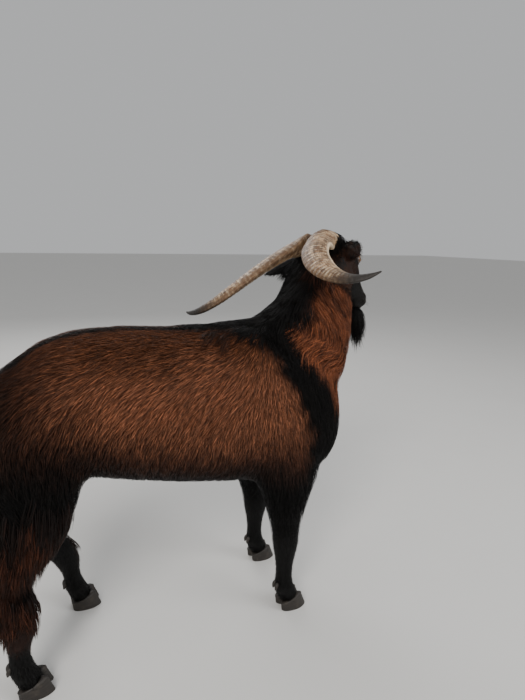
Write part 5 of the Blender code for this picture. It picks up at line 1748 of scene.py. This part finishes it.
stageSettings = {"floorTone": (0.66, 0.65, 0.63), "floorHalf": 30.0, "worldTone": (0.80, 0.81, 0.82),
                 "worldPower": 0.62}
lights = [
    # place, aim, size, power, tone
    ((-2.2, -3.4, 3.6), (0.3, 0.0, 0.6), 2.4, 210.0, (1.0, 0.97, 0.93)),
    ((3.0, -2.6, 2.4), (0.5, 0.0, 0.6), 2.6, 66.0, (0.96, 0.98, 1.0)),
    ((0.8, 3.6, 3.2), (0.4, 0.0, 0.6), 2.8, 70.0, (1.0, 1.0, 1.0)),
]
# focal length and height of the picture in its own pixels, angles in degrees
cameraSettings = {"focal": 526.0, "height": 700.0, "yaw": 27.8, "pitch": 12.0, "roll": 1.3,
                  "place": (0.0, -1.29, 1.05), "sensor": 36.0}


def buildFloor():
    mesh = bpy.data.meshes.new("floor")
    half = stageSettings["floorHalf"]
    corners = [(-half, -half, 0), (half, -half, 0), (half, half, 0), (-half, half, 0)]
    mesh.from_pydata(corners, [], [(0, 1, 2, 3)])
    floor = newObject("floor", mesh)
    mat, tree, shader = nodeMaterial("pale floor", {"Roughness": 0.85})
    tone = stageSettings["floorTone"]
    colour = mixColours(tree, noiseNode(tree, 3.0), tone, tuple(v * 0.96 for v in tone))
    tree.links.new(colour, shader.inputs["Base Color"])
    mesh.materials.append(mat)


def addLights():
    world = bpy.data.worlds.new("studio")
    world.use_nodes = True
    back = world.node_tree.nodes["Background"]
    back.inputs[0].default_value = (*stageSettings["worldTone"], 1.0)
    back.inputs[1].default_value = stageSettings["worldPower"]
    bpy.context.scene.world = world
    for number, (place, aim, size, power, tone) in enumerate(lights):
        data = bpy.data.lights.new("soft light " + str(number + 1), "AREA")
        data.shape, data.size, data.energy, data.color = "DISK", size, power, tone
        light = newObject(data.name, data)
        light.location = Vector(place) + goatShift
        light.rotation_euler = (Vector(aim) - Vector(place)).to_track_quat("-Z", "Y").to_euler()


def addCamera():
    s = cameraSettings
    yaw, pitch, roll = (math.radians(s[key]) for key in ("yaw", "pitch", "roll"))
    right = Vector((math.cos(yaw), -math.sin(yaw), 0.0))
    level = Vector((math.sin(yaw), math.cos(yaw), 0.0))
    view = level * math.cos(pitch) - Vector((0, 0, math.sin(pitch)))
    up = level * math.sin(pitch) + Vector((0, 0, math.cos(pitch)))
    axisX = right * math.cos(roll) + up * math.sin(roll)
    axisY = up * math.cos(roll) - right * math.sin(roll)
    data = bpy.data.cameras.new("camera")
    data.sensor_fit, data.sensor_height = "VERTICAL", s["sensor"]
    data.lens = s["sensor"] * s["focal"] / s["height"]
    data.clip_start, data.clip_end = 0.02, 100.0
    camera = newObject("camera", data)
    turn = Matrix((axisX, axisY, -view)).transposed().to_4x4()
    camera.matrix_world = Matrix.Translation(Vector(s["place"]) + goatShift) @ turn
    bpy.context.scene.camera = camera


buildFloor()
addLights()
addCamera()


# what rides on what

def settle(piece, slot, *nodes):
    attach(piece, "root")
    if nodes:
        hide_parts(*nodes)


legNodes = [foot + part for foot in legSizes["stance"] for part in ("_upper_leg", "_lower_leg")]
settle(skinPiece, "coat_chestnut", "torso", "neck", "head", "tail", "ear_left", "ear_right", *legNodes)
for hairName, hairSettings in longHair.items():
    settle(hairPieces[hairName], hairSettings["slot"], *hairSettings["nodes"])
settle(hairPieces["beard"], "coat_black", "beard")
for piece in coatPieces:
    if piece.name.startswith("coat_"):
        settle(piece, "coat_chestnut" if "body" in piece.name else "coat_black")
for label in ("left", "right"):
    settle(eyePieces[label], "eye", "eye_" + label)
    settle(hornPieces[label], "horn", "horn_" + label)
for piece in bristlePieces:
    settle(piece, "coat_black")
for node, piece in clawPieces.items():
    settle(piece, "hoof", node)
for piece in dewclawPieces:
    settle(piece, "hoof")

total = 0
for piece in bpy.data.objects:
    if piece.type == "MESH" and piece.name != "floor" and not piece.hide_render:
        piece.data.calc_loop_triangles()
        total += len(piece.data.loop_triangles)
print("triangles in all", total)
